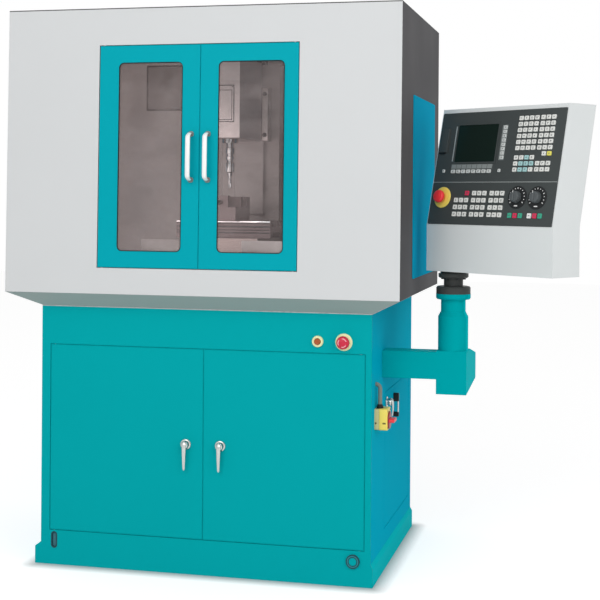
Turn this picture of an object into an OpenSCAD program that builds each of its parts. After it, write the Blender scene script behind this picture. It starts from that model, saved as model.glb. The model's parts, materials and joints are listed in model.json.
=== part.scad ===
// CNC milling machine: a cabinet base, an enclosed work area behind two windowed
// doors, a small column-type mill inside, and a control pendant on a side arm.
// Millimetres. X to the right, Y to the back, Z up. The origin is the centre of the
// base cabinet's footprint, on the floor. The operator stands on the -Y side.

/* [Overall] */
// Thickness of the cabinet sheet
sheet = 3; // [2:0.5:4]
// Depth of the folded edges of the sheet
fold = 22; // [18:1:30]

/* [Base cabinet] */
// Width of the base cabinet
base_w = 1070; // [1030:10:1150]
// Depth of the base cabinet
base_d = 778; // [740:2:860]
// Height of the base cabinet
base_h = 826; // [800:2:850]
// Height of the plinth
plinth_h = 55; // [45:1:65]
// Height of the bevel above the plinth
plinth_bevel = 15; // [8:1:20]
// Width of the plinth's bearing frame
plinth_bar = 60; // [40:5:90]
// How far the plinth stands out on the left
plinth_left = 20; // [5:1:30]
// How far the plinth stands out on the right
plinth_right = 6; // [2:1:20]
// How far the plinth stands out at the back
plinth_back = 8; // [2:1:20]

/* [Base doors] */
// Width of the front opening
bay_w = 1022; // [900:2:1026]
// Distance of the front opening's upper edge below the deck
bay_down = 123; // [115:1:200]
// Height of the opening's lower edge
bay_z = 109; // [100:1:120]
// Sideways shift of the opening
bay_shift = 5; // [0:1:6]
// Gap round every door
door_gap = 3; // [2.5:0.5:4]
// Thickness of a door
door_t = 12; // [11:0.5:16]
// Diameter of the hinge pins
pin_d = 7; // [5:0.5:8]
// Running clearance of the hinge pins, on the radius
pin_clear = 0.05; // [0.02:0.01:0.1]
// Distance of a hinge axis from the door's edge
pin_inset = 12; // [11:0.5:16]
// Height of the lever hubs above the opening's lower edge
latch_up = 295; // [200:1:400]
// Distance of a lever hub from the doors' meeting line
latch_side = 56; // [40:1:80]
// Length of a latch lever
lever_l = 82; // [70:2:120]
// Diameter of a latch hub
hub_d = 34; // [28:1:38]

/* [Hood] */
// Height of the hood
hood_h = 889; // [840:1:960]
// Width of the hood
hood_w = 1260; // [1220:10:1320]
// Depth of the hood at its foot
hood_d = 831; // [800:1:900]
// How far the hood overhangs the front of the base
hood_over = 73; // [50:1:90]
// How far the hood's front leans back over its height
hood_lean = 19; // [5:1:40]
// Height of the sloping skirt between base and hood
skirt_h = 45; // [30:1:60]

/* [Hood doors] */
// Width of the hood's opening
gate_w = 641; // [600:1:700]
// Distance of the opening's upper edge below the roof
gate_down = 113; // [100:1:160]
// Height of the opening above the hood's foot
gate_up = 81; // [70:1:100]
// Sideways shift of the opening
gate_shift = -2; // [-6:1:6]
// Sideways shift of the doors' meeting line
gate_seam = 7; // [0:1:12]
// Width of a window's glass
glass_w = 208; // [180:1:220]
// Frame left above the windows
rail_high = 52; // [40:1:70]
// Corner radius of the windows
glass_r = 16; // [8:1:30]
// Thickness of the glass
glass_t = 5; // [4:0.5:6]
// Frame left outside the left window
stile_l = 62; // [45:1:70]
// Frame left outside the right window
stile_r = 42; // [35:1:60]
// Frame left below the windows
rail_low = 50; // [40:1:60]
// Length of the bow handles
bow_l = 162; // [140:2:200]
// How far the bow handles stand out
bow_out = 38; // [30:1:50]
// Distance of a bow handle from the doors' meeting line
bow_side = 27; // [20:1:40]

/* [Side covers] */
// Length of the side covers
cover_l = 478; // [400:2:520]
// Distance of the side covers' upper edge below the roof
cover_down = 260; // [200:2:320]
// Height of the side covers above the hood's foot
cover_up = 52; // [40:1:70]
// Distance of the side covers from the hood's front
cover_in = 240; // [200:2:260]
// Length of the door in the base's right side
side_door_l = 490; // [470:5:540]
// Height of the door in the base's right side
side_door_h = 430; // [400:2:440]

/* [Controls on the base] */
// Distance of the push buttons below the deck
button_down = 88; // [76:1:95]
// Sideways place of the start button
start_x = 368; // [340:1:380]
// Sideways place of the emergency stop
stop_x = 449; // [430:1:460]
// Diameter of the start button's bezel
start_d = 38; // [32:1:44]
// Diameter of the emergency stop's yellow shroud
stop_ring_d = 56; // [50:1:60]
// Diameter of the red mushroom heads
mushroom_d = 40; // [36:1:42]
// Travel of the push buttons
push = 5; // [3:0.5:7]
// Sideways place of the round lifting socket
socket_x = 481; // [470:1:490]
// Height of the round lifting socket
socket_z = 77; // [72:1:82]
// Bore of the round lifting socket
socket_d = 18; // [14:1:24]
// Height of the switch box
switch_h = 66; // [62:1:90]
// How far the switch box stands out
switch_out = 40; // [34:1:50]
// Length of the switch box
switch_l = 60; // [58:1:100]

/* [Pendant] */
// Sideways place of the pendant's post
post_x = 752; // [740:1:780]
// Depth of the pendant's post from the base's front
post_in = 224; // [200:1:260]
// Diameter of the post
post_d = 94; // [80:1:100]
// Height of the top of the post above the deck
post_up = 51; // [40:1:70]
// Height of the arm's square tube
arm_h = 84; // [70:1:90]
// Distance of the arm's underside below the deck
arm_down = 214; // [200:1:230]
// Turn of the pendant about its post
pendant_turn = -35; // [-45:1:-20]
// Width of the control panels
panel_w = 483; // [470:1:500]
// Height of the lower control panel
panel_low = 133; // [120:1:140]
// Height of the upper control panel
panel_up = 222; // [210:1:240]
// Backward slope of the control panels
panel_slope = 12; // [8:1:20]
// Depth of the pendant's case
case_d = 127; // [115:1:140]
// Height of the case below the panels
case_low = 143; // [120:1:160]
// Bore of the pendant's swivel
swivel_d = 40; // [30:1:46]

/* [Mill] */
// Height of the table's top above the guideways
table_up = 132; // [120:1:150]
// Length of the table
table_l = 320; // [300:5:380]
// Width of the table
table_w = 150; // [140:2:180]
// Thickness of the table
table_t = 56; // [50:1:60]
// Width of a T-slot's mouth
slot_w = 11; // [9:0.5:13]
// Distance between the T-slots
slot_pitch = 45; // [40:1:50]
// Height of the bed's guideways above the deck
bed_up = 139; // [120:1:150]
// Width of the bed
bed_w = 280; // [250:2:320]
// Width of a dovetail at its root
tail_w = 84; // [70:2:100]
// Height of a dovetail
tail_h = 18; // [14:1:22]
// Sliding clearance of a dovetail
tail_clear = 0.3; // [0.2:0.1:0.5]
// Depth of the spindle axis from the machine's middle
spindle_y = -100; // [-120:1:-80]
// Height of the underside of the milling head above the table
head_up = 270; // [240:1:290]
// Width of the milling head
head_w = 92; // [84:1:110]
// Diameter of the spindle
spindle_d = 46; // [40:1:60]
// Height of the cutter's tip above the table
tip_up = 107; // [100:1:130]
// Height of the vise's jaws above the table
vise_h = 78; // [70:1:84]
// Opening between the vise's jaws
vise_gap = 46; // [40:1:60]

/* [Hidden] */
$fn = 48;

// A separating gap that leaves neighbouring pieces clear of each other.
air = 0.3;
eps = 1;

// Base cabinet.
bw2 = base_w / 2;
bd2 = base_d / 2;
plinth_top = plinth_h + plinth_bevel;
wall_top = base_h - sheet;
bay_x0 = bay_shift - bay_w / 2;
bay_x1 = bay_shift + bay_w / 2;
bay_z1 = base_h - bay_down;
button_z = base_h - button_down;
bay_seam = bay_shift;
pin_r = pin_d / 2;
pin_bore = pin_r + pin_clear;
pin_reach = 14;
door_skin = 2.5;
pin_y = door_t / 2;
stop_in = 8;
latch_z = bay_z + latch_up;
latch_t = 9;
lever_w = 18;
spindle_bolt = 16;
side_fold = 14;
slot_x = -bw2 + 45;
slot_z = plinth_top + 8;
slot_out_w = 21;
slot_out_h = 53;
slot_wall = 4;
socket_wall = 6;
socket_lip = 5;
socket_l = 20;
socket_deep = 9;
barrel_d = 26;
barrel_l = 36;
start_face = 19;
stop_stem = 14;

// Hood.
hood_z = base_h + skirt_h;
machine_h = hood_z + hood_h;
hood_front = -bd2 - hood_over;
hood_back = hood_front + hood_d;
hw2 = hood_w / 2;
roof_z = machine_h - sheet;
lean_a = atan(hood_lean / hood_h);
front_l = (roof_z - hood_z) / cos(lean_a);
gate_x0 = gate_shift - gate_w / 2;
gate_x1 = gate_shift + gate_w / 2;
gate_z1 = front_l - gate_down;
win_z = gate_up + door_gap + rail_low;
win_z1 = gate_z1 - door_gap - rail_high;
glass_h = win_z1 - win_z;
win_l = gate_x0 + door_gap + stile_l;
win_r = gate_x1 - door_gap - stile_r - glass_w;
bow_z = (win_z + win_z1) / 2;

// Doors and covers on the sides.
cover_y = hood_front + cover_in;
cover_z = hood_z + cover_up;
cover_h = roof_z - cover_down - cover_z;
side_door_y1 = bd2 - 58;
side_door_y0 = side_door_y1 - side_door_l;
side_door_z = plinth_top + 55;
side_latch_y = side_door_y0 + 29;
side_latch_z = side_door_z + side_door_h - 32;
side_lever_l = 46;
side_pull_y = side_latch_y + 145;
side_pull_l = 78;
side_pull_out = 18;
side_pull_z = side_latch_z - 31;

// Pendant arm.
arm_z = base_h - arm_down;
post_h = base_h + post_up;

// Switch box.
switch_y = -bd2 + 49;
switch_z = arm_z - 145;
switch_axis_y = switch_y + switch_l / 2;
switch_axis_z = switch_z + switch_h / 2 - 4;

// Pendant.
post_y = -bd2 + post_in;
block_z = arm_z - 46;
block_l = 275;
block_w = post_d;
swivel_z = post_h;
swivel_disc = 24;
swivel_neck = 25;
swivel_flange = 22;
case_z = swivel_z + swivel_disc + swivel_neck + swivel_flange + air;
bend_z = case_z + case_low;
case_front = 60;
case_left = 56;
case_edge = 4;
panel_h = panel_low + panel_up;
panel_t = 3;
panel_gap = 0.6;
case_lip = 9;
slope_l = panel_h + 2 * case_edge;
case_top = bend_z + slope_l * cos(panel_slope) + case_lip;

// Mill.
bed_z = base_h + bed_up;
table_z = bed_z + table_up;
head_z = table_z + head_up;
tip_z = table_z + tip_up;
table_under = table_z - table_t;
bed_y0 = -320;
bed_wall = 22;
bed_y1 = bd2 - 60;
column_y = 150;
column_w = 240;
roof_air = 120;
cover_top = roof_z - roof_air;
column_top = cover_top - 2;
saddle_l = 250;
saddle_w = 210;
head_y0 = spindle_y - 56;
head_top = cover_top - 50;
slide_w = 150;
slide_drop = 84;
slide_h = cover_top - slide_drop - head_z;
cover_t = 3;
shaft_l = 118;
cap_d = 76;
tail_flare = tail_h * tan(30);
jaw_w = 104;
jaw_t = 24;
vise_floor = table_z + vise_h - 34;

// --- Shared shapes -------------------------------------------------------------

// A box between two corners.
module box(lo, hi) {
    translate(lo)
        cube(hi - lo);
}

// An outline in Y and Z, given thickness along X from x.
module plate_x(x, t, pts) {
    translate([x, 0, 0])
        rotate([90, 0, 90])
            linear_extrude(t)
                polygon(pts);
}

// An outline in X and Z, given thickness along Y from y.
module plate_y(y, t, pts) {
    translate([0, y + t, 0])
        rotate([90, 0, 0])
            linear_extrude(t)
                polygon(pts);
}

// A solid between two level rectangles [x0, x1, y0, y1, z].
module splay(a, b) {
    y0 = min(a[2], b[2]) - eps;
    y1 = max(a[3], b[3]) + eps;
    x0 = min(a[0], b[0]) - eps;
    x1 = max(a[1], b[1]) + eps;
    intersection() {
        plate_y(y0, y1 - y0, [[a[0], a[4]], [a[1], a[4]], [b[1], b[4]], [b[0], b[4]]]);
        plate_x(x0, x1 - x0, [[a[2], a[4]], [a[3], a[4]], [b[3], b[4]], [b[2], b[4]]]);
    }
}

// A centred rectangle with round corners.
module round_rect(w, h, r) {
    square([w - 2 * r, h], center = true);
    square([w, h - 2 * r], center = true);
    for (x = [-1, 1], y = [-1, 1])
        translate([x * (w / 2 - r), y * (h / 2 - r)])
            circle(r);
}

// A cylinder along Y from y0 to y1.
module rod_y(x, y0, y1, z, d) {
    translate([x, y1, z])
        rotate([90, 0, 0])
            cylinder(h = y1 - y0, d = d);
}

// A cylinder along X from x0 to x1.
module rod_x(x0, x1, y, z, d) {
    translate([x0, y, z])
        rotate([0, 90, 0])
            cylinder(h = x1 - x0, d = d);
}

// The male dovetail: narrow at the root, wide at the top, drawn with its root at 0.
function tail_pts(grow) = let (w = tail_w / 2 + grow, f = tail_flare) [
    [-w, -eps], [w, -eps], [w, 0], [w + f, tail_h + grow], [-w - f, tail_h + grow], [-w, 0]
];

// Places children in the plane of the hood's front, which leans back.
module on_front() {
    translate([0, hood_front, hood_z])
        rotate([-lean_a, 0, 0])
            children();
}

// Places children on the base's right side: x to the back, y into the base.
module on_right() {
    translate([bw2, 0, 0])
        rotate([0, 0, 90])
            children();
}

// Places children at the pendant's swivel axis, turned as the pendant is.
module on_pendant() {
    translate([post_x, post_y, 0])
        rotate([0, 0, pendant_turn])
            children();
}

// Places children on the sloping panels: x along them, y into the case, z up them.
module on_panel() {
    on_pendant()
        translate([-case_left, -case_front, bend_z])
            rotate([-panel_slope, 0, 0])
                translate([0, 0, case_edge])
                    children();
}

// A door leaf of folded sheet in front of y = door_t, with hinge blocks at one edge.
// side is -1 for hinges on the left and 1 for hinges on the right.
module leaf(x0, x1, z0, z1, side) {
    hx = side < 0 ? x0 + pin_inset : x1 - pin_inset;
    block = 2 * pin_inset;
    difference() {
        union() {
            difference() {
                box([x0, 0, z0], [x1, door_t, z1]);
                box([x0 + door_skin, door_skin, z0 + door_skin],
                    [x1 - door_skin, door_t + eps, z1 - door_skin]);
            }
            for (z = [z0, z1 - block])
                box([hx - pin_inset, 0, z], [hx + pin_inset, door_t, z + block]);
        }
        for (z = [z0 - eps, z1 - pin_reach])
            translate([hx, pin_y, z])
                cylinder(h = pin_reach + eps, r = pin_bore);
    }
}

// Folded lips above and below a door's opening, each with a stop for the door.
module rim(x0, x1, z0, z1) {
    stop_y = door_t + 1;
    for (up = [0, 1]) {
        z = up ? z1 : z0 - sheet;
        zs = up ? z1 - stop_in : z0;
        box([x0, sheet, z], [x1, fold + sheet, z + sheet]);
        box([x0 + 3 * pin_inset, stop_y, zs], [x1 - 3 * pin_inset, stop_y + sheet, zs + stop_in]);
    }
}

// The two pins of one door, fixed to the frame above and below it.
module leaf_pins(hx, z0, z1) {
    reach = pin_reach + door_gap - 1;
    translate([hx, pin_y, z0])
        cylinder(h = reach, r = pin_r);
    translate([hx, pin_y, z1 - reach])
        cylinder(h = reach, r = pin_r);
}

// --- Base cabinet --------------------------------------------------------------

// Outline of the plinth at one height, spread by a share of its full overhang.
function plinth_rect(share, z) = [
    -bw2 - plinth_left * share, bw2 + plinth_right * share,
    -bd2 + sheet, bd2 + plinth_back * share, z
];

// A bearing frame with one cross bar in the middle.
module base_plinth() {
    color("#0a9aa2")
        difference() {
            union() {
                splay(plinth_rect(1, 0), plinth_rect(1, plinth_h));
                splay(plinth_rect(1, plinth_h), plinth_rect(0, plinth_top));
            }
            for (y = [[-bd2 + plinth_bar, -plinth_bar / 2], [plinth_bar / 2, bd2 - plinth_bar]])
                box([-bw2 + plinth_bar, y[0], -eps], [bw2 - plinth_bar, y[1], plinth_top + eps]);
            socket_holes();
        }
}

module base_floor() {
    color("#6f7678")
        difference() {
            box([-bw2 + sheet, -bd2 + sheet + stop_in + door_t, plinth_top],
                [bw2 - sheet, bd2 - sheet, plinth_top + fold]);
            box([-bw2 + 2 * sheet, -bd2 + 2 * sheet + stop_in + door_t, plinth_top + sheet],
                [bw2 - 2 * sheet, bd2 - 2 * sheet, plinth_top + fold + eps]);
            socket_holes();
        }
}

module base_front_frame() {
    outline = [
        [-bw2 - plinth_left, 0], [bw2 + plinth_right, 0], [bw2 + plinth_right, plinth_h],
        [bw2, plinth_top], [bw2, wall_top], [-bw2, wall_top], [-bw2, plinth_top],
        [-bw2 - plinth_left, plinth_h]
    ];
    y0 = -bd2;
    lip = y0 + sheet;
    color("#02a3a8")
        difference() {
            union() {
                difference() {
                    plate_y(y0, sheet, outline);
                    box([bay_x0, y0 - eps, bay_z], [bay_x1, lip + eps, bay_z1]);
                }
                translate([0, y0, 0])
                    rim(bay_x0, bay_x1, bay_z, bay_z1);
            }
            rod_y(start_x, y0 - eps, lip + eps, button_z, barrel_d);
            rod_y(stop_x, y0 - eps, lip + eps, button_z, barrel_d);
            socket_holes();
        }
}

// The oblong slot's outline, extruded along Y from y0 to y1 and spread by an inset.
module slot_rod(y0, y1, grow) {
    translate([slot_x, y1, slot_z])
        rotate([90, 0, 0])
            linear_extrude(y1 - y0)
                round_rect(slot_out_w + 2 * grow, slot_out_h + 2 * grow,
                           slot_out_w / 2 + grow - 0.01);
}

// What the frame of the base is cut out by for the two sockets.
module socket_holes() {
    y1 = -bd2 + plinth_bar + eps;
    slot_rod(-bd2 - eps, y1, air);
    rod_y(socket_x, -bd2 - eps, -bd2 + socket_l + eps, socket_z,
          socket_d + 2 * socket_wall + 2 * air);
}

module lifting_sockets() {
    y0 = -bd2;
    color("#5c6466") {
        difference() {
            union() {
                rod_y(socket_x, y0 - socket_lip, y0, socket_z, socket_d + 4 * socket_wall);
                rod_y(socket_x, y0 - eps, y0 + socket_l, socket_z, socket_d + 2 * socket_wall);
            }
            rod_y(socket_x, y0 - socket_lip - eps, y0 + socket_deep, socket_z, socket_d);
        }
        difference() {
            slot_rod(y0, y0 + plinth_bar, 0);
            slot_rod(y0 - eps, y0 + plinth_bar + eps, -slot_wall);
        }
    }
}

// Side panel of the base: a sheet with a fold at its front and its back edge.
// side is -1 for the left and 1 for the right.
module base_side(side) {
    x0 = side < 0 ? -bw2 : bw2 - sheet;
    f0 = side < 0 ? -bw2 + sheet : bw2 - sheet - side_fold;
    ends = [-bd2 + sheet, bd2 - 2 * sheet];
    box([x0, -bd2 + sheet, plinth_top], [x0 + sheet, bd2 - sheet, wall_top]);
    for (y = ends)
        box([f0, y, plinth_top + fold + air], [f0 + side_fold, y + sheet, wall_top]);
}

module base_left_panel() {
    color("#008a9a")
        base_side(-1);
}

module base_right_panel() {
    y0 = side_door_y0 - door_gap;
    y1 = side_door_y1 + door_gap;
    z0 = side_door_z - door_gap;
    z1 = side_door_z + side_door_h + door_gap;
    color("#008a9a")
        union() {
            difference() {
                base_side(1);
                box([bw2 - sheet - eps, y0, z0], [bw2 + eps, y1, z1]);
            }
            on_right()
                rim(y0, y1, z0, z1);
        }
}

louvre_h = 8;
louvre_pitch = 24;
// Place of the louvre groups, as a share of half the width
louvre_at = 0.56;

module base_rear_panel() {
    louvre_w = 150;
    color("#008a9a")
        difference() {
            box([-bw2, bd2 - sheet, plinth_top], [bw2, bd2, wall_top]);
            for (x = [-louvre_at * bw2, louvre_at * bw2], k = [0:7])
                translate([x, bd2 + eps, wall_top - 160 - louvre_pitch * k])
                    rotate([90, 0, 0])
                        linear_extrude(sheet + 2 * eps)
                            round_rect(louvre_w, louvre_h, louvre_h / 2 - 0.01);
        }
}

drain = [-330, -180, -60, 120];

module base_deck() {
    color("#6f7678")
        difference() {
            box([-bw2, -bd2, wall_top], [bw2, bd2, base_h]);
            box([drain[0], drain[2], wall_top - eps], [drain[1], drain[3], base_h + eps]);
        }
}

// --- Hood ----------------------------------------------------------------------

// Outline of the skirt at one height, drawn in by an inset.
function skirt_rect(z, inset) = let (k = (z - base_h) / skirt_h) [
    -bw2 + (bw2 - hw2) * k + inset, bw2 + (hw2 - bw2) * k - inset,
    -bd2 + (hood_front + bd2) * k + inset, bd2 + (hood_back - bd2) * k - inset, z
];

module hood_skirt() {
    color("#8d928c")
        difference() {
            splay(skirt_rect(base_h, 0), skirt_rect(hood_z, 0));
            splay(skirt_rect(base_h - eps, sheet + 1), skirt_rect(hood_z + eps, sheet + 1));
        }
}

// The leaning sheet starts where its inner edge meets the skirt's level top.
module hood_front_frame() {
    foot = sheet * tan(lean_a);
    color("#d4d6d5")
        on_front()
            union() {
                difference() {
                    box([-hw2, 0, foot], [hw2, sheet, front_l]);
                    box([gate_x0, -eps, gate_up], [gate_x1, sheet + eps, gate_z1]);
                }
                rim(gate_x0, gate_x1, gate_up, gate_z1);
            }
}

// Inner face of the hood's leaning front at a height.
function front_y(z) = hood_front + (z - hood_z) * tan(lean_a) + sheet / cos(lean_a);

// Side of the hood with its service opening. side is -1 left, 1 right.
module hood_side(side) {
    x0 = side < 0 ? -hw2 : hw2 - sheet;
    f0 = side < 0 ? -hw2 + sheet : hw2 - sheet - side_fold;
    back = hood_back - sheet;
    rim = 22;
    difference() {
        plate_x(x0, sheet, [
            [front_y(hood_z), hood_z], [back, hood_z], [back, roof_z], [front_y(roof_z), roof_z]
        ]);
        box([x0 - eps, cover_y + rim, cover_z + rim],
            [x0 + sheet + eps, cover_y + cover_l - rim, cover_z + cover_h - rim]);
    }
    box([f0, back - sheet, hood_z + tray_up + air], [f0 + side_fold, back, roof_z]);
}

module hood_left_panel() {
    color("#55585a")
        hood_side(-1);
}

module hood_right_panel() {
    color("#55585a")
        hood_side(1);
}

module hood_rear_panel() {
    louvre_w = 180;
    color("#55585a")
        difference() {
            box([-hw2, hood_back - sheet, hood_z], [hw2, hood_back, roof_z]);
            for (x = [-louvre_at * hw2, louvre_at * hw2], k = [0:5])
                translate([x, hood_back + eps, roof_z - 120 - louvre_pitch * k])
                    rotate([90, 0, 0])
                        linear_extrude(sheet + 2 * eps)
                            round_rect(louvre_w, louvre_h, louvre_h / 2 - 0.01);
        }
}

module hood_roof() {
    y0 = front_y(roof_z) - sheet / cos(lean_a);
    color("#55585a") {
        box([-hw2, y0, roof_z], [hw2, hood_back, machine_h]);
        // a folded rim under the roof, inside the rear wall
        box([-hw2 + 60, hood_back - 3 * sheet, roof_z - fold],
            [hw2 - 60, hood_back - 2 * sheet, roof_z]);
    }
}

module hood_side_covers() {
    color("#1b87a0")
        for (side = [-1, 1])
            translate([side < 0 ? -hw2 - sheet : hw2, cover_y + cover_l / 2, cover_z + cover_h / 2])
                rotate([90, 0, 90])
                    linear_extrude(sheet)
                        round_rect(cover_l, cover_h, 6);
}

// The chip tray: a level floor round the bed's foot and sloping sides.
tray_up = 60;
tray_foot = [-450, 450, -350, 345];
tray_z = base_h + sheet;
tray_top = [
    -hw2 + sheet + air, hw2 - sheet - air, front_y(hood_z + tray_up) + air,
    hood_back - sheet - air
];

function tray_rect(z, inset) = let (k = (z - base_h) / (hood_z + tray_up - base_h)) [
    for (i = [0:3]) tray_foot[i] + (tray_top[i] - tray_foot[i]) * k
        + (i % 2 == 0 ? inset : -inset),
    z
];

module chip_tray() {
    color("#8f9698")
        difference() {
            splay([for (i = [0:4]) tray_rect(base_h, 0)[i]],
                  [for (i = [0:4]) tray_rect(hood_z + tray_up, 0)[i]]);
            splay([for (i = [0:4]) tray_rect(tray_z, sheet + 1)[i]],
                  [for (i = [0:4]) tray_rect(hood_z + tray_up + eps, sheet + 1)[i]]);
            box([-bed_w / 2 - 1, bed_y0 - 1, base_h - eps], [bed_w / 2 + 1, bed_y1 + 1, tray_z + eps]);
            box([drain[0] + 10, drain[2] + 10, base_h - eps],
                [drain[1] - 10, drain[3] - 10, tray_z + eps]);
        }
}

// --- Inside the base -----------------------------------------------------------

tank = [-470, -60, -330, 190];
tank_z = plinth_top + sheet;
tank_h = 230;
pump_x = -150;
pump_y = 110;
pump_d = 108;
pump_h = 140;
pump_flange = 10;
pump_dip = tank_h - 80;
pump_dip_d = 60;
pump_bay = 75;

module coolant_tank() {
    wall = 4;
    color("#9aa1a3")
        difference() {
            union() {
                box([tank[0], tank[2], tank_z], [tank[1], tank[3], tank_z + tank_h]);
                // stiffening rim
                box([tank[0] - 8, tank[2] - 8, tank_z + tank_h - 12],
                    [tank[1] + 8, tank[3] + 8, tank_z + tank_h]);
            }
            box([tank[0] + wall, tank[2] + wall, tank_z + wall],
                [tank[1] - wall, pump_y - pump_bay, tank_z + tank_h + eps]);
            box([tank[0] + wall, pump_y - pump_bay - eps, tank_z + wall],
                [tank[1] - wall, tank[3] - wall, tank_z + tank_h - wall]);
            translate([pump_x, pump_y, tank_z + tank_h - wall - eps])
                cylinder(h = wall + 2 * eps, d = pump_dip_d + 2);
        }
}

module coolant_pump() {
    z = tank_z + tank_h;
    color("#3c4245")
        translate([pump_x, pump_y, z]) {
            translate([0, 0, -pump_dip])
                cylinder(h = pump_dip, d = pump_dip_d);
            cylinder(h = pump_flange, d = pump_d + 22);
            translate([0, 0, pump_flange])
                cylinder(h = pump_h, d = pump_d);
            translate([0, 0, pump_flange + pump_h])
                cylinder(h = 26, d = pump_d + 10);
            for (a = [0:30:330])
                rotate([0, 0, a])
                    translate([pump_d / 2 - 1, -2, pump_flange + 6])
                        cube([5, 4, pump_h - 12]);
        }
}

drive_x = 300;
drive_w = 74;
drive_gap = 14;
drive_low = 180;
drive_h = 240;
drive_out = 130;
drive_l = 366;
drive_plate_h = 510;
fin_h = 20;

module drive_units() {
    y1 = side_door_y1 - 12;
    y0 = y1 - drive_l;
    z0 = plinth_top + sheet;
    foot = 60;
    face = drive_x + sheet;
    color("#b9bdbf") {
        box([drive_x, y0, z0], [face, y1, z0 + drive_plate_h]);
        box([drive_x - foot, y0, z0], [drive_x, y1, z0 + sheet]);
        for (k = [0:3]) {
            y = y0 + drive_gap + k * (drive_w + drive_gap);
            box([face, y, z0 + drive_low], [drive_x + drive_out, y + drive_w, z0 + drive_low + drive_h]);
            for (f = [0:5])
                box([face, y + 6 + 12 * f, z0 + drive_low + drive_h],
                    [drive_x + drive_out - fin_h, y + 9 + 12 * f, z0 + drive_low + drive_h + fin_h]);
        }
        // terminal rail
        box([face, y0 + drive_gap, z0 + drive_low / 2],
            [drive_x + foot, y1 - drive_gap, z0 + drive_low / 2 + 40]);
    }
}

// --- Base controls -------------------------------------------------------------

module switch_box() {
    round = 6;
    color("#e8c51e")
        union() {
            difference() {
                translate([bw2, switch_axis_y, switch_z + switch_h / 2])
                    rotate([90, 0, 90])
                        linear_extrude(switch_out)
                            round_rect(switch_l, switch_h, round);
                rod_x(bw2 + switch_out - 16, bw2 + switch_out + eps, switch_axis_y, switch_axis_z,
                      2 * (8 + pin_clear));
            }
            // round gland for the conduit
            translate([conduit_x, conduit_y, switch_z + switch_h - eps])
                cylinder(h = 8 + eps, d = conduit_d + 7);
        }
}

conduit_d = 13;
conduit_bend = 14;
conduit_x = bw2 + conduit_bend;
conduit_y = switch_y + 18;
conduit_top = arm_z - 6;

module switch_conduit() {
    z0 = switch_z + switch_h + 8;
    z1 = conduit_top - conduit_bend;
    color("#43484a") {
        translate([conduit_x, conduit_y, z0])
            cylinder(h = z1 - z0, d = conduit_d);
        translate([conduit_x - conduit_bend, conduit_y, z1])
            rotate([90, 0, 0])
                rotate_extrude(angle = 90)
                    translate([conduit_bend, 0])
                        circle(d = conduit_d);
    }
}

grip_disc = 54;

module switch_handle() {
    color("#c8262a")
        translate([bw2 + switch_out, switch_axis_y, switch_axis_z])
            rotate([0, 90, 0]) {
                translate([0, 0, -14])
                    cylinder(h = 14 + air, r = 8);
                translate([0, 0, air])
                    cylinder(h = 7, d = grip_disc);
                translate([-5, -grip_disc / 2 + 3, 7 + air - eps])
                    cube([10, grip_disc - 6, 13 + eps]);
            }
}

// Flange and threaded barrel of a push button, mounted in a sheet, pointing to -Y.
module bezel(x, d, lip, bore) {
    y0 = -bd2;
    difference() {
        union() {
            translate([x, y0, button_z])
                rotate([90, 0, 0])
                    cylinder(h = lip, d1 = d, d2 = d - 3);
            rod_y(x, y0 - eps, y0 + barrel_l, button_z, barrel_d - 2 * air);
        }
        rod_y(x, y0 - lip - eps, y0 + barrel_l + eps, button_z, bore);
    }
}

start_lip = 8;
stop_lip = 4;

module button_bezels() {
    color("#f2dc6a") {
        bezel(start_x, start_d, start_lip, start_face + 2 * air);
        bezel(stop_x, stop_ring_d, stop_lip, stop_stem + 2 * air);
    }
}

module start_button() {
    color("#e2502f")
        translate([start_x, -bd2, button_z])
            rotate([90, 0, 0]) {
                translate([0, 0, -barrel_l + push + 1])
                    cylinder(h = barrel_l + start_lip, d = start_face);
                translate([0, 0, start_lip + push + 1 - eps])
                    cylinder(h = 2 + eps, d1 = start_face, d2 = start_face - 4);
            }
}

// A mushroom push button pointing along +Z from the face of its mounting sheet.
module mushroom() {
    r = mushroom_d / 2;
    neck = stop_lip + push + 1;
    head = neck + 3;
    rotate_extrude()
        polygon([
            [0, -barrel_l + push + 1], [stop_stem / 2, -barrel_l + push + 1],
            [stop_stem / 2, neck], [11, neck], [r - 6, head], [r - 1, head + 1], [r, head + 4],
            [r - 0.4, head + 8], [r - 2.5, head + 11.5], [r - 7, head + 14], [r - 13, head + 15.5],
            [0, head + 16]
        ]);
}

module base_stop_button() {
    color("#c9252b")
        translate([stop_x, -bd2, button_z])
            rotate([90, 0, 0])
                mushroom();
}

// --- Pendant arm and swivel ----------------------------------------------------

arm_depth = 80;
arm_y0 = post_y - post_d / 2;
block_top = arm_z + arm_h + 4;
block_rise = 20;
block_fall = 31;
collar_d = post_d + 14;
neck_d = post_d - 17;
cable_bore = 52;

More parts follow.
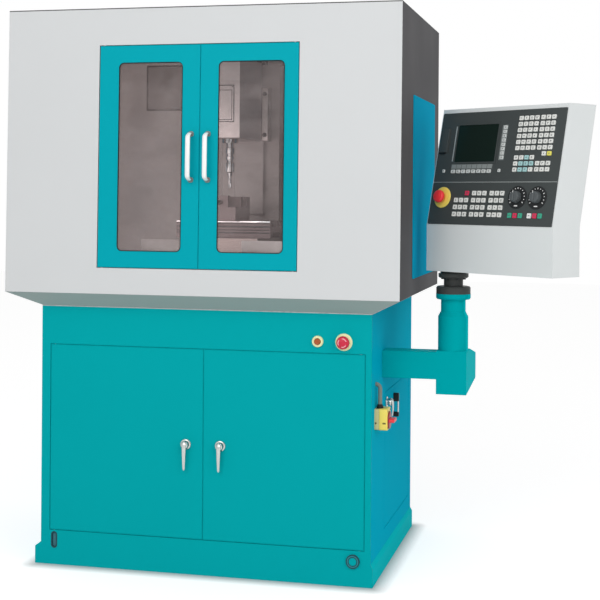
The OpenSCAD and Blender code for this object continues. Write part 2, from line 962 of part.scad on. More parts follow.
module pendant_arm() {
    bx0 = post_x - block_w / 2;
    wall = 5;
    r = post_d / 2;
    n = neck_d / 2;
    c = collar_d / 2;
    shoulder = post_h - 71;
    color("#00a0a8") {
        difference() {
            union() {
                box([bw2, arm_y0, arm_z], [bx0, arm_y0 + arm_depth, arm_z + arm_h]);
                plate_x(bx0, block_w, [
                    [arm_y0, block_z], [arm_y0 + block_l, block_z + block_rise],
                    [arm_y0 + block_l, block_top - block_fall],
                    [arm_y0 + post_d + 6, block_top], [arm_y0, block_top]
                ]);
                translate([post_x, post_y, 0])
                    rotate_extrude()
                        polygon([
                            [0, block_top - eps], [r - 0.2, block_top - eps], [r, block_top],
                            [r, shoulder], [n, shoulder + 16], [n, post_h - 19],
                            [c - 3, post_h - 17], [c, post_h - 13], [c, post_h], [0, post_h]
                        ]);
            }
            // the tube, the block and the post are hollow for the cables
            box([bw2 - eps, arm_y0 + wall, arm_z + wall],
                [bx0 + wall, arm_y0 + arm_depth - wall, arm_z + arm_h - wall]);
            plate_x(bx0 + wall, block_w - 2 * wall, [
                [arm_y0 + wall, block_z + wall + 1],
                [arm_y0 + block_l - wall, block_z + block_rise + wall],
                [arm_y0 + block_l - wall, block_top - block_fall - wall],
                [arm_y0 + post_d, block_top - wall], [arm_y0 + wall, block_top - wall]
            ]);
            translate([post_x, post_y, block_top - wall - eps])
                cylinder(h = post_h, d = cable_bore);
        }
    }
}

module swivel_base() {
    r = collar_d / 2 - 0.5;
    color("#232527")
        translate([post_x, post_y, swivel_z])
            difference() {
                rotate_extrude()
                    polygon([
                        [0, 0], [r, 0], [r, swivel_disc - 5], [r - 3, swivel_disc - 1],
                        [r - 8, swivel_disc], [0, swivel_disc]
                    ]);
                translate([0, 0, -eps])
                    cylinder(h = swivel_disc + 2 * eps, d = swivel_d);
            }
}

module swivel_head() {
    neck = swivel_d / 2 + 10;
    flange = post_d / 2;
    z0 = swivel_z + swivel_disc + air;
    z1 = z0 + swivel_neck;
    z2 = case_z;
    color("#232527")
        on_pendant()
            rotate_extrude()
                polygon([
                    [12, swivel_z - 8], [swivel_d / 2 - pin_clear, swivel_z - 8],
                    [swivel_d / 2 - pin_clear, z0], [neck, z0], [neck, z1], [flange - 4, z1],
                    [flange, z1 + 4], [flange, z2 - 8], [flange - 6, z2 - 8], [flange - 6, z2],
                    [12, z2]
                ]);
}

// --- Pendant -------------------------------------------------------------------

function slope_y(z) = z < bend_z ? 0 : (z - bend_z) * tan(panel_slope);

// Side outline of the case, drawn in by an inset.
function case_pts(inset, front) = [
    [-case_front + front, case_z + inset], [case_d - case_front - inset, case_z + inset],
    [case_d - case_front - inset, bend_z],
    [case_d - case_front - inset + slope_y(case_top - inset), case_top - inset],
    [-case_front + front + slope_y(case_top - inset), case_top - inset],
    [-case_front + front, bend_z]
];

module pendant_case() {
    x0 = -case_left - case_edge;
    w = panel_w + 2 * case_edge;
    rim = 12;
    color("#cdd1d0")
        difference() {
            on_pendant()
                difference() {
                    plate_x(x0, w, case_pts(0, 0));
                    plate_x(x0 + sheet, w - 2 * sheet, case_pts(sheet, 2 * sheet + 1));
                    translate([0, 0, case_z - eps])
                        cylinder(h = sheet + 2 * eps, d = 30);
                }
            on_panel() {
                box([-air, -eps, -air], [panel_w + air, panel_t, panel_h + air]);
                box([rim, 0, rim], [panel_w - rim, 3 * sheet, panel_h - rim]);
            }
        }
}

screen = [74, 235, 196, 314];
flap = [10, 40, 228, 300];
dial_at = [[344, 86], [418, 85]];
dial_plate_d = 68;
stop_at = [48, 84];
panel_proud = 2;

module pendant_panels() {
    bezel_w = 5;
    color("#434a4b")
        on_panel()
            difference() {
                union() {
                    for (p = [[0, panel_low - panel_gap], [panel_low, panel_h]])
                        translate([panel_w / 2, panel_t, (p[0] + p[1]) / 2])
                            rotate([90, 0, 0])
                                linear_extrude(panel_t + panel_proud)
                                    round_rect(panel_w, p[1] - p[0], 5);
                    // raised frame round the screen
                    box([screen[0] - bezel_w, -panel_proud - 2, screen[2] - bezel_w],
                        [screen[1] + bezel_w, 0, screen[3] + bezel_w]);
                    // flap over the memory card slot
                    box([flap[0], -panel_proud - 4, flap[2]], [flap[1], 0, flap[3]]);
                    for (c = dial_at)
                        rod_y(c[0], -panel_proud - 1.5, 0, c[1], dial_plate_d);
                }
                box([screen[0], -panel_proud - 3, screen[2]], [screen[1], 1, screen[3]]);
                for (c = dial_at)
                    rod_y(c[0], -10, panel_t + 1, c[1], 8 + 2 * pin_clear);
                rod_y(stop_at[0], -10, panel_t + 1, stop_at[1], barrel_d);
            }
}

module pendant_screen() {
    color("#0e1212")
        on_panel()
            box([screen[0] + air, -panel_proud - 0.5, screen[2] + air],
                [screen[1] - air, 1, screen[3] - air]);
}

// One key standing on the panel, centred at x and z.
module key(x, z, w, h) {
    box([x - w / 2, -panel_proud - 3, z - h / 2], [x + w / 2, -panel_proud, z + h / 2]);
}

key_w = 15.5;
key_h = 13;
key_pitch = 18.4;
key_top = panel_low + 195;
key_low = panel_low + 37;
key_cols = [319, 338.7, 358.4, 378, 401, 420.5, 440];

module pendant_keys() {
    color("#c9cdcb")
        on_panel() {
            // letter and number keys
            for (row = [0:5], c = key_cols)
                key(c, key_top - key_pitch * row, key_w, key_h);
            for (c = [5, 6])
                key(key_cols[c], key_top - 6 * key_pitch, key_w, key_h);
            for (c = [0:3])
                key(key_cols[c], key_low + 2 * key_pitch, key_w, key_h);
            for (row = [0, 1], c = key_cols)
                key(c, key_low + key_pitch * row, key_w, key_h);
            // soft keys beside and below the screen
            for (k = [0:7]) {
                key(260, 302 - 13.4 * k, 18, 11);
                key(76 + 20.6 * k, 168, 16, 13);
            }
            for (x = [37, 260])
                key(x, 168, 12, 12);
            // keys of the machine panel
            for (g = [0:2], c = [0:2], row = [0:3])
                if (g > 0 || c == 2 || row > 0)
                    key(106 + 69.5 * g + 20.3 * c, 98 - 22 * row, 15, 14);
            for (g = [325, 398], c = [0:2])
                key(g + 19.6 * c, 31, 14, 15);
        }
}

module pendant_stop_ring() {
    color("#f2d94a")
        on_panel()
            translate([stop_at[0], -panel_proud, stop_at[1]])
                rotate([90, 0, 0])
                    difference() {
                        union() {
                            cylinder(h = stop_lip, d1 = 62, d2 = 58);
                            translate([0, 0, -barrel_l])
                                cylinder(h = barrel_l + eps, d = barrel_d - 2 * air);
                        }
                        translate([0, 0, -barrel_l - eps])
                            cylinder(h = barrel_l + stop_lip + 2 * eps, d = stop_stem + 2 * air);
                    }
}

module pendant_stop_button() {
    color("#c9252b")
        on_panel()
            translate([stop_at[0], -panel_proud, stop_at[1]])
                rotate([90, 0, 0])
                    mushroom();
}

// An override knob on its shaft.
module dial(at) {
    on_panel()
        translate([at[0], -panel_proud - 1.5, at[1]])
            rotate([90, 0, 0]) {
                translate([0, 0, -14])
                    cylinder(h = 14 + eps, d = 8);
                translate([0, 0, air])
                    cylinder(h = 18, d1 = 34, d2 = 31);
                translate([-3, -16, 18 - eps])
                    cube([6, 32, 6 + eps]);
            }
}

module feed_dial() {
    color("#6b7173")
        dial(dial_at[0]);
}

module speed_dial() {
    color("#6b7173")
        dial(dial_at[1]);
}

// --- Doors ---------------------------------------------------------------------

module hinge_pins() {
    color("#8b9092") {
        translate([0, -bd2, 0]) {
            leaf_pins(bay_x0 + door_gap + pin_inset, bay_z, bay_z1);
            leaf_pins(bay_x1 - door_gap - pin_inset, bay_z, bay_z1);
        }
        on_front() {
            leaf_pins(gate_x0 + door_gap + pin_inset, gate_up, gate_z1);
            leaf_pins(gate_x1 - door_gap - pin_inset, gate_up, gate_z1);
        }
        on_right()
            leaf_pins(side_door_y1 - pin_inset, side_door_z - door_gap,
                      side_door_z + side_door_h + door_gap);
    }
}

// A base door with the bore of its latch.
module base_door(x0, x1, hub_x, side) {
    color("#02a3a8")
        translate([0, -bd2, 0])
            difference() {
                leaf(x0, x1, bay_z + door_gap, bay_z1 - door_gap, side);
                rod_y(hub_x, -eps, door_skin + eps, latch_z, spindle_bolt + 2 * pin_clear);
            }
}

module base_door_left() {
    base_door(bay_x0 + door_gap, bay_seam - door_gap / 2, bay_seam - latch_side, -1);
}

module base_door_right() {
    base_door(bay_seam + door_gap / 2, bay_x1 - door_gap, bay_seam + latch_side, 1);
}

// A hanging bar that tapers to a round tip.
module hanging_bar(w, tip_w, l) {
    polygon([
        [-w / 2, 0], [w / 2, 0], [tip_w / 2, -l + tip_w / 2], [-tip_w / 2, -l + tip_w / 2]
    ]);
    circle(d = w + 8);
    translate([0, -l + tip_w / 2])
        circle(d = tip_w);
}

// A hanging lever on its hub, pointing out to -Y from the face of a door.
module latch() {
    hub_out = 14;
    tip_w = 12;
    rotate([90, 0, 0]) {
        translate([0, 0, -door_skin - 6])
            cylinder(h = door_skin + 6 + air + eps, d = spindle_bolt);
        translate([0, 0, -door_skin - 6])
            cylinder(h = 6 - air, d = spindle_bolt + 8);
        translate([0, 0, air])
            cylinder(h = hub_out, d1 = hub_d, d2 = hub_d - 4);
        translate([0, 0, hub_out + air - eps])
            linear_extrude(latch_t + eps)
                hanging_bar(lever_w, tip_w, lever_l);
    }
}

module base_latch_left() {
    color("#b4b8ba")
        translate([bay_seam - latch_side, -bd2, latch_z])
            latch();
}

module base_latch_right() {
    color("#b4b8ba")
        translate([bay_seam + latch_side, -bd2, latch_z])
            latch();
}

module side_door() {
    color("#008a9a")
        on_right()
            difference() {
                leaf(side_door_y0, side_door_y1, side_door_z, side_door_z + side_door_h, 1);
                rod_y(side_latch_y, -eps, door_skin + eps, side_latch_z,
                      spindle_bolt + 2 * pin_clear);
            }
}

// The side door's lever hangs like the front ones and is shorter.
module side_latch() {
    hub_out = 16;
    tip_w = 10;
    color("#b4b8ba")
        on_right()
            translate([side_latch_y, 0, side_latch_z])
                rotate([90, 0, 0]) {
                    translate([0, 0, -door_skin - 6])
                        cylinder(h = door_skin + 6 + air + eps, d = spindle_bolt);
                    translate([0, 0, -door_skin - 6])
                        cylinder(h = 6 - air, d = spindle_bolt + 8);
                    translate([0, 0, air])
                        cylinder(h = 6 + eps, d = hub_d);
                    translate([0, 0, 6 + air])
                        cylinder(h = hub_out - 6, d = hub_d - 8);
                    translate([0, 0, hub_out + air - eps])
                        linear_extrude(latch_t + eps)
                            hanging_bar(lever_w - 4, tip_w, side_lever_l);
                }
}

// A bow pull with two feet.
module side_pull() {
    foot_l = 20;
    pull_w = 14;
    bar_t = 8;
    half = side_pull_l / 2;
    color("#232526")
        on_right()
            translate([side_pull_y, 0, side_pull_z])
                rotate([0, 90, 0])
                    translate([0, 0, -pull_w / 2])
                        linear_extrude(pull_w)
                            polygon([
                                [-half, 0], [-half, -side_pull_out + 6],
                                [-half + 6, -side_pull_out], [half - 6, -side_pull_out],
                                [half, -side_pull_out + 6], [half, 0], [half - foot_l, 0],
                                [half - foot_l, -side_pull_out + bar_t],
                                [-half + foot_l, -side_pull_out + bar_t], [-half + foot_l, 0]
                            ]);
}

// A hood door: a leaf with a round-cornered window.
module hood_door(x0, x1, glass_x, side) {
    cx = glass_x + glass_w / 2;
    cz = (win_z + win_z1) / 2;
    rim = 8;
    color("#05a5b0")
        on_front()
            difference() {
                union() {
                    leaf(x0, x1, gate_up + door_gap, gate_z1 - door_gap, side);
                    // frame behind the skin that holds the glass
                    translate([cx, door_t, cz])
                        rotate([90, 0, 0])
                            linear_extrude(door_t - door_skin + eps)
                                round_rect(glass_w + 2 * rim + 2, glass_h + 2 * rim + 2,
                                           glass_r + rim);
                }
                translate([cx, door_t + eps, cz])
                    rotate([90, 0, 0])
                        linear_extrude(door_t + 2 * eps)
                            round_rect(glass_w, glass_h, glass_r);
                translate([cx, door_t + eps, cz])
                    rotate([90, 0, 0])
                        linear_extrude(door_t + eps - door_skin - 1)
                            round_rect(glass_w + 2 * rim - 6, glass_h + 2 * rim - 6,
                                       glass_r + rim - 4);
            }
}

module hood_window(glass_x) {
    rim = 4.5;
    color("#8c7f7f", 0.5)
        on_front()
            translate([glass_x + glass_w / 2, door_skin + 1 + glass_t, (win_z + win_z1) / 2])
                rotate([90, 0, 0])
                    linear_extrude(glass_t)
                        round_rect(glass_w + 2 * rim, glass_h + 2 * rim, glass_r + rim - 2);
}

// A bow handle: a flat bar on two splayed feet.
module bow(x) {
    h = bow_l / 2;
    bar = 12;
    w = 14;
    color("#e9ebea")
        on_front()
            plate_x(x - w / 2, w, [
                [0, bow_z - h], [-bow_out + 4, bow_z - h + 13], [-bow_out, bow_z - h + 20],
                [-bow_out, bow_z + h - 20], [-bow_out + 4, bow_z + h - 13], [0, bow_z + h],
                [0, bow_z + h - 17], [-bow_out + bar, bow_z + h - 28],
                [-bow_out + bar, bow_z - h + 28], [0, bow_z - h + 17]
            ]);
}

module hood_door_left() {
    hood_door(gate_x0 + door_gap, gate_seam - door_gap / 2, win_l, -1);
}

module hood_door_right() {
    hood_door(gate_seam + door_gap / 2, gate_x1 - door_gap, win_r, 1);
}

module hood_window_left() {
    hood_window(win_l);
}

module hood_window_right() {
    hood_window(win_r);
}

module hood_handle_left() {
    bow(gate_seam - bow_side);
}

module hood_handle_right() {
    bow(gate_seam + bow_side);
}

// --- Mill ----------------------------------------------------------------------

module machine_bed() {
    w = bed_w / 2;
    color("#c5c9ca")
        difference() {
            union() {
                box([-w, bed_y0, base_h], [w, bed_y1, base_h + 34]);
                plate_y(bed_y0 + 12, bed_y1 - bed_y0 - 12, [
                    [-w, base_h + 30], [w, base_h + 30], [w - 12, base_h + 48], [w - 12, bed_z],
                    [-w + 12, bed_z], [-w + 12, base_h + 48]
                ]);
                translate([0, bed_y0 + 20, bed_z])
                    rotate([90, 0, 0])
                        translate([0, 0, -(column_y - 20 - bed_y0 - 20)])
                            linear_extrude(column_y - 20 - bed_y0 - 20)
                                polygon(tail_pts(0));
            }
            // cored out from below, with a rib down the middle
            for (x = [-w + bed_wall, bed_wall / 2])
                box([x, bed_y0 + 34, base_h - eps],
                    [x + w - 1.5 * bed_wall, bed_y1 - 20, bed_z - 34]);
        }
}

module column() {
    w = column_w / 2;
    y1 = bed_y1 - 6;
    color("#c5c9ca")
        difference() {
            union() {
                plate_y(column_y, y1 - column_y, [
                    [-w, bed_z], [w, bed_z], [w, bed_z + 60], [w - 16, bed_z + 110],
                    [w - 16, column_top], [-w + 16, column_top], [-w + 16, bed_z + 110],
                    [-w, bed_z + 60]
                ]);
                translate([0, column_y, bed_z + 150])
                    linear_extrude(column_top - bed_z - 160)
                        rotate([0, 0, 180])
                            polygon(tail_pts(0));
            }
            // hollow casting, open at the back
            box([-w + 34, column_y + 26, bed_z + 30], [w - 34, y1 + eps, column_top - 18]);
        }
}

module servo_motors() {
    my = (column_y + bed_y1) / 2;
    color("#2c2f31") {
        translate([0, my, column_top]) {
            translate([-36, -36, 0])
                cube([72, 72, 12]);
            translate([-30, -30, 12])
                cube([60, 60, 88]);
            translate([0, 0, 100])
                cylinder(h = 12, d = 44);
        }
        translate([0, bed_y0, bed_z - 60])
            rotate([90, 0, 0]) {
                translate([-36, -30, -12])
                    cube([72, 66, 24]);
                translate([-30, -27, 12])
                    cube([60, 60, 50]);
            }
    }
}

saddle_top = table_under - air;

module saddle() {
    color("#b3b8ba")
        difference() {
            union() {
                box([-saddle_l / 2, spindle_y - saddle_w / 2, bed_z + air],
                    [saddle_l / 2, spindle_y + saddle_w / 2, saddle_top]);
                translate([-saddle_l / 2, spindle_y, saddle_top])
                    rotate([90, 0, 90])
                        linear_extrude(saddle_l)
                            polygon(tail_pts(0));
            }
            translate([0, spindle_y + saddle_w / 2 + eps, bed_z])
                rotate([90, 0, 0])
                    linear_extrude(saddle_w + 2 * eps)
                        polygon(tail_pts(tail_clear));
        }
}

module table() {
    head_slot = slot_w + 8;
    color("#a9aeb0")
        difference() {
            box([-table_l / 2, spindle_y - table_w / 2, table_under],
                [table_l / 2, spindle_y + table_w / 2, table_z]);
            translate([-table_l / 2 - eps, spindle_y, saddle_top])
                rotate([90, 0, 90])
                    linear_extrude(table_l + 2 * eps)
                        polygon(tail_pts(tail_clear));
            for (k = [-1:1]) {
                y = spindle_y + k * slot_pitch;
                box([-table_l / 2 - eps, y - slot_w / 2, table_z - 12],
                    [table_l / 2 + eps, y + slot_w / 2, table_z + eps]);
                box([-table_l / 2 - eps, y - head_slot / 2, table_z - 20],
                    [table_l / 2 + eps, y + head_slot / 2, table_z - 11]);
            }
        }
}

vise_y1 = spindle_y + vise_gap / 2 + jaw_t + 12;
vise_back = 62;
vise_y0 = spindle_y - vise_gap / 2 - jaw_t - vise_back;
screw_z = vise_floor + 16;
screw_d = 14;
screw_boss = 52;
guide_w = 30;
guide_h = 14;
jaw_shut = 30;

module vise_body() {
    w = jaw_w / 2;
    post = 20;
    color("#7d8386")
        difference() {
            union() {
                box([-w, vise_y0, table_z], [w, vise_y1, vise_floor]);
                box([-w, vise_y1 - jaw_t - 12, table_z], [w, vise_y1, table_z + vise_h]);
                box([-screw_boss / 2, vise_y0, table_z],
                    [screw_boss / 2, vise_y0 + post, screw_z + screw_boss / 2 - 4]);
            }
            // guide slot of the moving jaw
            box([-guide_w / 2, vise_y0 + post, vise_floor - guide_h],
                [guide_w / 2, vise_y1 - jaw_t - 12, vise_floor + eps]);
            rod_y(0, vise_y0 - eps, vise_y0 + post + eps, screw_z, screw_d + 2 * air);
        }
}

// The moving jaw and its screw, which runs through the body's front post.
module vise_jaw() {
    w = jaw_w / 2;
    y1 = spindle_y - vise_gap / 2;
    color("#b9bec0")
        union() {
            box([-w, y1 - jaw_t, vise_floor + air], [w, y1, table_z + vise_h]);
            box([-guide_w / 2 + air, y1 - jaw_t, vise_floor - guide_h + air],
                [guide_w / 2 - air, y1, vise_floor + eps]);
            rod_y(0, vise_y0 - jaw_shut - 6, y1 - jaw_t + eps, screw_z, screw_d);
            // square end for a crank
            box([-5, vise_y0 - jaw_shut - 26, screw_z - 5],
                [5, vise_y0 - jaw_shut - 6 + eps, screw_z + 5]);
        }
}

module mill_head() {
    back = column_y - air;
    front = back - 40;
    w = head_w / 2;
    color("#d8dbdb")
        difference() {
            union() {
                box([-slide_w / 2, front, head_z], [slide_w / 2, back, head_z + slide_h]);
                box([-w, head_y0, head_z], [w, front + eps, head_top]);
                translate([0, spindle_y, head_top - eps])
                    cylinder(h = cover_top - cover_t - 7 - head_top + eps, d = cap_d);
            }
            translate([0, column_y, head_z - eps])
                linear_extrude(slide_h + 2 * eps)
                    rotate([0, 0, 180])
                        polygon(tail_pts(tail_clear));
            translate([0, spindle_y, head_z - eps])
                cylinder(h = shaft_l + 12, d = spindle_d + 2 * pin_clear);
        }
}

module head_cover() {
    w = head_w / 2 + air;
    y0 = head_y0 - air;
    y1 = column_y - air - 40 - air;
    seam = head_z + slide_h;
    color("#d8dbdb")
        difference() {
            box([-w - cover_t, y0 - cover_t, head_z + 2], [w + cover_t, y1, cover_top]);
            box([-w, y0, head_z - eps], [w, y1 + eps, cover_top - cover_t]);
            // seam between the lower and the upper half
            difference() {
                box([-w - 2 * cover_t, y0 - 2 * cover_t, seam], [w + 2 * cover_t, y1 + eps, seam + 2]);
                box([-w - cover_t + 1, y0 - cover_t + 1, seam - eps],
                    [w + cover_t - 1, y1 + 2 * eps, seam + 2 + eps]);
            }
        }
}

module spindle() {
    r = spindle_d / 2;
    nose = head_z - air;
    color("#c9cdcf")
        translate([0, spindle_y, 0])
            rotate_extrude()
                polygon([
                    [0, tip_z], [5, tip_z], [5, tip_z + 40], [8, tip_z + 42], [8, tip_z + 50],
                    [14, tip_z + 54], [14, tip_z + 84], [11, tip_z + 86], [11, tip_z + 92],
                    [14, tip_z + 94], [14, tip_z + 104], [11, tip_z + 106], [11, tip_z + 112],
                    [15, tip_z + 114], [15, tip_z + 132], [12, tip_z + 134], [12, nose - 16],
                    [27, nose - 14], [27, nose], [r, nose], [r, nose + shaft_l], [0, nose + shaft_l]
                ]);
}

// --- Selection -----------------------------------------------------------------

base_plinth();
base_floor();
base_front_frame();
base_left_panel();
base_right_panel();
base_rear_panel();
base_deck();
hood_skirt();
hood_front_frame();
hood_left_panel();
hood_right_panel();
hood_rear_panel();
hood_roof();
hood_side_covers();
chip_tray();
coolant_tank();
coolant_pump();
drive_units();
switch_box();
switch_conduit();
pendant_arm();
swivel_base();
button_bezels();
lifting_sockets();
machine_bed();
column();
servo_motors();
hinge_pins();
hood_door_left();
hood_window_left();
hood_handle_left();
hood_door_right();
hood_window_right();
hood_handle_right();
base_door_left();
base_latch_left();
base_door_right();
base_latch_right();
side_door();
side_latch();
side_pull();
switch_handle();
start_button();
base_stop_button();
swivel_head();
pendant_case();
pendant_panels();
pendant_screen();
pendant_keys();
pendant_stop_ring();
pendant_stop_button();
feed_dial();
speed_dial();
saddle();
table();
vise_body();
vise_jaw();
mill_head();
head_cover();
spindle();
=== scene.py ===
"""Dressing of a CNC milling machine: enamels, glass, keys, levers and the mill behind the doors."""

import json
import math

import bmesh
import bpy
from mathutils import Matrix, Vector


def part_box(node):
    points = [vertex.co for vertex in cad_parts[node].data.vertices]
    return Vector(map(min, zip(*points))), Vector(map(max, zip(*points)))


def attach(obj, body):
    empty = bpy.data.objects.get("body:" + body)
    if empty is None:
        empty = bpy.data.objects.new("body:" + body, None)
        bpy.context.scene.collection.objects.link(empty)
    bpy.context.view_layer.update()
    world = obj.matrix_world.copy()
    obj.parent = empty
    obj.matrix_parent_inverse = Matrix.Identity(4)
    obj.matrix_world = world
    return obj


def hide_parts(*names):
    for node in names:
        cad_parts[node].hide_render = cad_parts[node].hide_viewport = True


bl_info = {
    "name": "CNC Milling Machine Dressing",
    "version": (1, 0, 0),
    "blender": (4, 5, 0),
    "location": "3D Viewport > Sidebar > Machine",
    "description": "Finishes and detail pieces of an enclosed milling machine",
    "category": "Object",
}

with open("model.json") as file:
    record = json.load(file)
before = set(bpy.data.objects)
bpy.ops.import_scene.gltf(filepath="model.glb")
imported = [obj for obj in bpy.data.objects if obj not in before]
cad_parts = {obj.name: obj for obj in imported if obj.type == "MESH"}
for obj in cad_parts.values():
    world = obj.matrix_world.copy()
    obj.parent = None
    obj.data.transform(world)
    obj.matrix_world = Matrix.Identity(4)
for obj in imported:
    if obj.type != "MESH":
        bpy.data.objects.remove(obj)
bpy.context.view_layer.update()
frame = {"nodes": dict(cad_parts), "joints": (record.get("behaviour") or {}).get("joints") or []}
NODES = frame["nodes"]
MM = 0.001


# --- Colour and node helpers ---------------------------------------------------


def linear(hex_colour, alpha=1.0):
    """An sRGB hex colour as linear red, green, blue and alpha."""
    parts = [int(hex_colour[i : i + 2], 16) / 255 for i in (1, 3, 5)]
    rgb = [c / 12.92 if c <= 0.04045 else ((c + 0.055) / 1.055) ** 2.4 for c in parts]
    return (*rgb, alpha)


def add(tree, kind, settings=None, links=None):
    """Adds a node, sets its sockets and properties, and links outputs to its inputs."""
    node = tree.nodes.new(kind)
    for key, value in (settings or {}).items():
        if isinstance(key, int) or key in node.inputs:
            node.inputs[key].default_value = value
        else:
            setattr(node, key, value)
    for key, output in (links or {}).items():
        tree.links.new(output, node.inputs[key])
    return node


def per_mm(size_mm):
    """Texture scale, per metre, of a pattern whose features are size_mm across."""
    return 1000.0 / size_mm


def blank(name):
    """An empty node material with its tree, its output and its object coordinates."""
    material = bpy.data.materials.new(name)
    material.use_nodes = True
    tree = material.node_tree
    tree.nodes.clear()
    out = add(tree, "ShaderNodeOutputMaterial")
    return material, tree, out, add(tree, "ShaderNodeTexCoord").outputs["Object"]


def shades(tree, place, colour, spread, size_mm):
    """A colour that drifts lighter and darker by spread over patches of size_mm."""
    noise = add(tree, "ShaderNodeTexNoise", {"Scale": per_mm(size_mm), "Detail": 3.0},
                {"Vector": place})
    light = [min(1.0, c * (1 + spread)) for c in colour[:3]] + [1.0]
    dark = [c * (1 - spread) for c in colour[:3]] + [1.0]
    mix = add(tree, "ShaderNodeMix", {"data_type": "RGBA", 6: dark, 7: light},
              {0: noise.outputs["Fac"]})
    return mix.outputs[2], noise.outputs["Fac"]


def rough_range(tree, factor, low, high):
    """Roughness between low and high, following a factor."""
    spread = add(tree, "ShaderNodeMapRange",
                 {"From Min": 0.3, "From Max": 0.7, "To Min": low, "To Max": high},
                 {"Value": factor})
    return spread.outputs["Result"]


def relief(tree, height, depth_mm, strength, edge_mm=0.0):
    """A bump of a given depth; edge_mm also softens hard edges to that radius."""
    bump = add(tree, "ShaderNodeBump", {"Distance": depth_mm * MM, "Strength": strength},
               {"Height": height})
    if edge_mm:
        edge = add(tree, "ShaderNodeBevel", {"samples": 4, "Radius": edge_mm * MM})
        tree.links.new(edge.outputs["Normal"], bump.inputs["Normal"])
    return bump.outputs["Normal"]


def surface(tree, out, settings, links):
    """The shader of a finish, joined to the material's output."""
    shader = add(tree, "ShaderNodeBsdfPrincipled", settings, links)
    tree.links.new(shader.outputs[0], out.inputs["Surface"])


def grained(tree, out, place, tint, patch, grain, rough, bump, settings):
    """A surface with a fine grain under its tint.

    grain holds a size in mm and the noise's detail, rough the two ends of the roughness, and
    bump a depth in mm, a strength and the radius in mm that softens the edges.
    """
    fine = add(tree, "ShaderNodeTexNoise", {"Scale": per_mm(grain[0]), "Detail": grain[1]},
               {"Vector": place})
    surface(tree, out, settings, {
        "Base Color": tint,
        "Roughness": rough_range(tree, patch, *rough),
        "Normal": relief(tree, fine.outputs["Fac"], *bump),
    })


def even_coat(name, colour, patches, grain, rough, bump, settings):
    """A grained surface of one colour, which drifts by a share over patches of a size in mm."""
    material, tree, out, place = blank(name)
    tint, patch = shades(tree, place, colour, *patches)
    grained(tree, out, place, tint, patch, grain, rough, bump, settings)
    return material


# --- Finishes ------------------------------------------------------------------

ENAMEL_IOR = 1.5
POWDER_GRAIN = (1.2, 4.0)  # size in mm and detail of the stipple of baked powder
POWDER_ROUGH = (0.5, 0.6)
HOOD_MIDDLE = (0.0, -0.05, 1.3)  # a point in the middle of the hood's inside, in metres


def sprayed_enamel(name, colour, peel_mm=2.5, low=0.38, high=0.50, edge_mm=2.0, gloss=0.12):
    """Stoving enamel sprayed on folded steel sheet: even colour, faint orange peel, soft gloss."""
    return even_coat(name, colour, (0.02, 400), (peel_mm, 2.0), (low, high), (0.03, 0.5, edge_mm),
                     {"IOR": ENAMEL_IOR, "Specular IOR Level": gloss})


def powder_coat(name, colour, edge_mm=2.0):
    """Baked polyester powder on steel sheet: fine leathery stipple, satin sheen."""
    return even_coat(name, colour, (0.018, 350), POWDER_GRAIN, POWDER_ROUGH, (0.03, 0.3, edge_mm),
                     {"IOR": ENAMEL_IOR, "Specular IOR Level": 0.2})


def two_sided_powder(parts, first, second, second_drift, is_second, bump, gloss):
    """Powder coat of two colours; is_second is 1 where the second one lies."""
    material, tree, out, place = parts
    one, patch = shades(tree, place, first, 0.02, 300)
    two, _ = shades(tree, place, second, *second_drift)
    tint = add(tree, "ShaderNodeMix", {"data_type": "RGBA"}, {0: is_second, 6: one, 7: two})
    grained(tree, out, place, tint.outputs[2], patch, POWDER_GRAIN, POWDER_ROUGH, bump,
            {"IOR": ENAMEL_IOR, "Specular IOR Level": gloss})
    return material


def two_tone_powder_coat(name, front, side, gloss=0.2):
    """Powder coat of the front colour on what faces the front and the side colour on the rest. On
    the hood this is light paint in front and dark paint on the rest; on the plinth and arm the side
    colour is a lighter teal, painted light over the shade of their other faces; on the skirt both
    colours are painted shade.
    """
    parts = blank(name)
    _, tree, _, place = parts
    split = add(tree, "ShaderNodeSeparateXYZ", {}, {0: place.node.outputs["Normal"]})
    off_front = add(tree, "ShaderNodeMapRange",
                   {"From Min": -0.45, "From Max": -0.35, "To Min": 0.0, "To Max": 1.0},
                   {"Value": split.outputs["Y"]})
    return two_sided_powder(parts, front, side, (0.02, 300), off_front.outputs["Result"],
                            (0.06, 0.6, 2.0), gloss)


def hood_sheet_coat(name, outside, inside):
    """Powder-coated sheet of the hood: dark outside, a lighter washable grey inside."""
    parts = blank(name)
    _, tree, _, place = parts
    outward = add(tree, "ShaderNodeVectorMath", {"operation": "SUBTRACT", 1: HOOD_MIDDLE},
                  {0: place})
    facing = add(tree, "ShaderNodeVectorMath", {"operation": "DOT_PRODUCT"},
                 {0: outward.outputs[0], 1: place.node.outputs["Normal"]})
    inner = add(tree, "ShaderNodeMath", {"operation": "LESS_THAN", 1: 0.0},
                {0: facing.outputs["Value"]})
    return two_sided_powder(parts, outside, inside, (0.12, 130), inner.outputs[0],
                            (0.02, 0.25, 2.0), 0.03)


def galvanised_sheet(name, colour):
    """Hot-dip zinc on steel: crystal spangles of about 14 mm that catch light differently."""
    material, tree, out, place = blank(name)
    cells = add(tree, "ShaderNodeTexVoronoi", {"Scale": per_mm(14), "Randomness": 1.0},
                {"Vector": place})
    grey = add(tree, "ShaderNodeSeparateColor", {}, {0: cells.outputs["Color"]})
    dark = [c * 0.82 for c in colour[:3]] + [1.0]
    tint = add(tree, "ShaderNodeMix", {"data_type": "RGBA", 6: dark, 7: colour},
               {0: grey.outputs[0]})
    surface(tree, out, {"Metallic": 0.85}, {
        "Base Color": tint.outputs[2],
        "Roughness": rough_range(tree, grey.outputs[1], 0.38, 0.55),
        "Normal": relief(tree, cells.outputs["Distance"], 0.02, 0.3, 1.0),
    })
    return material


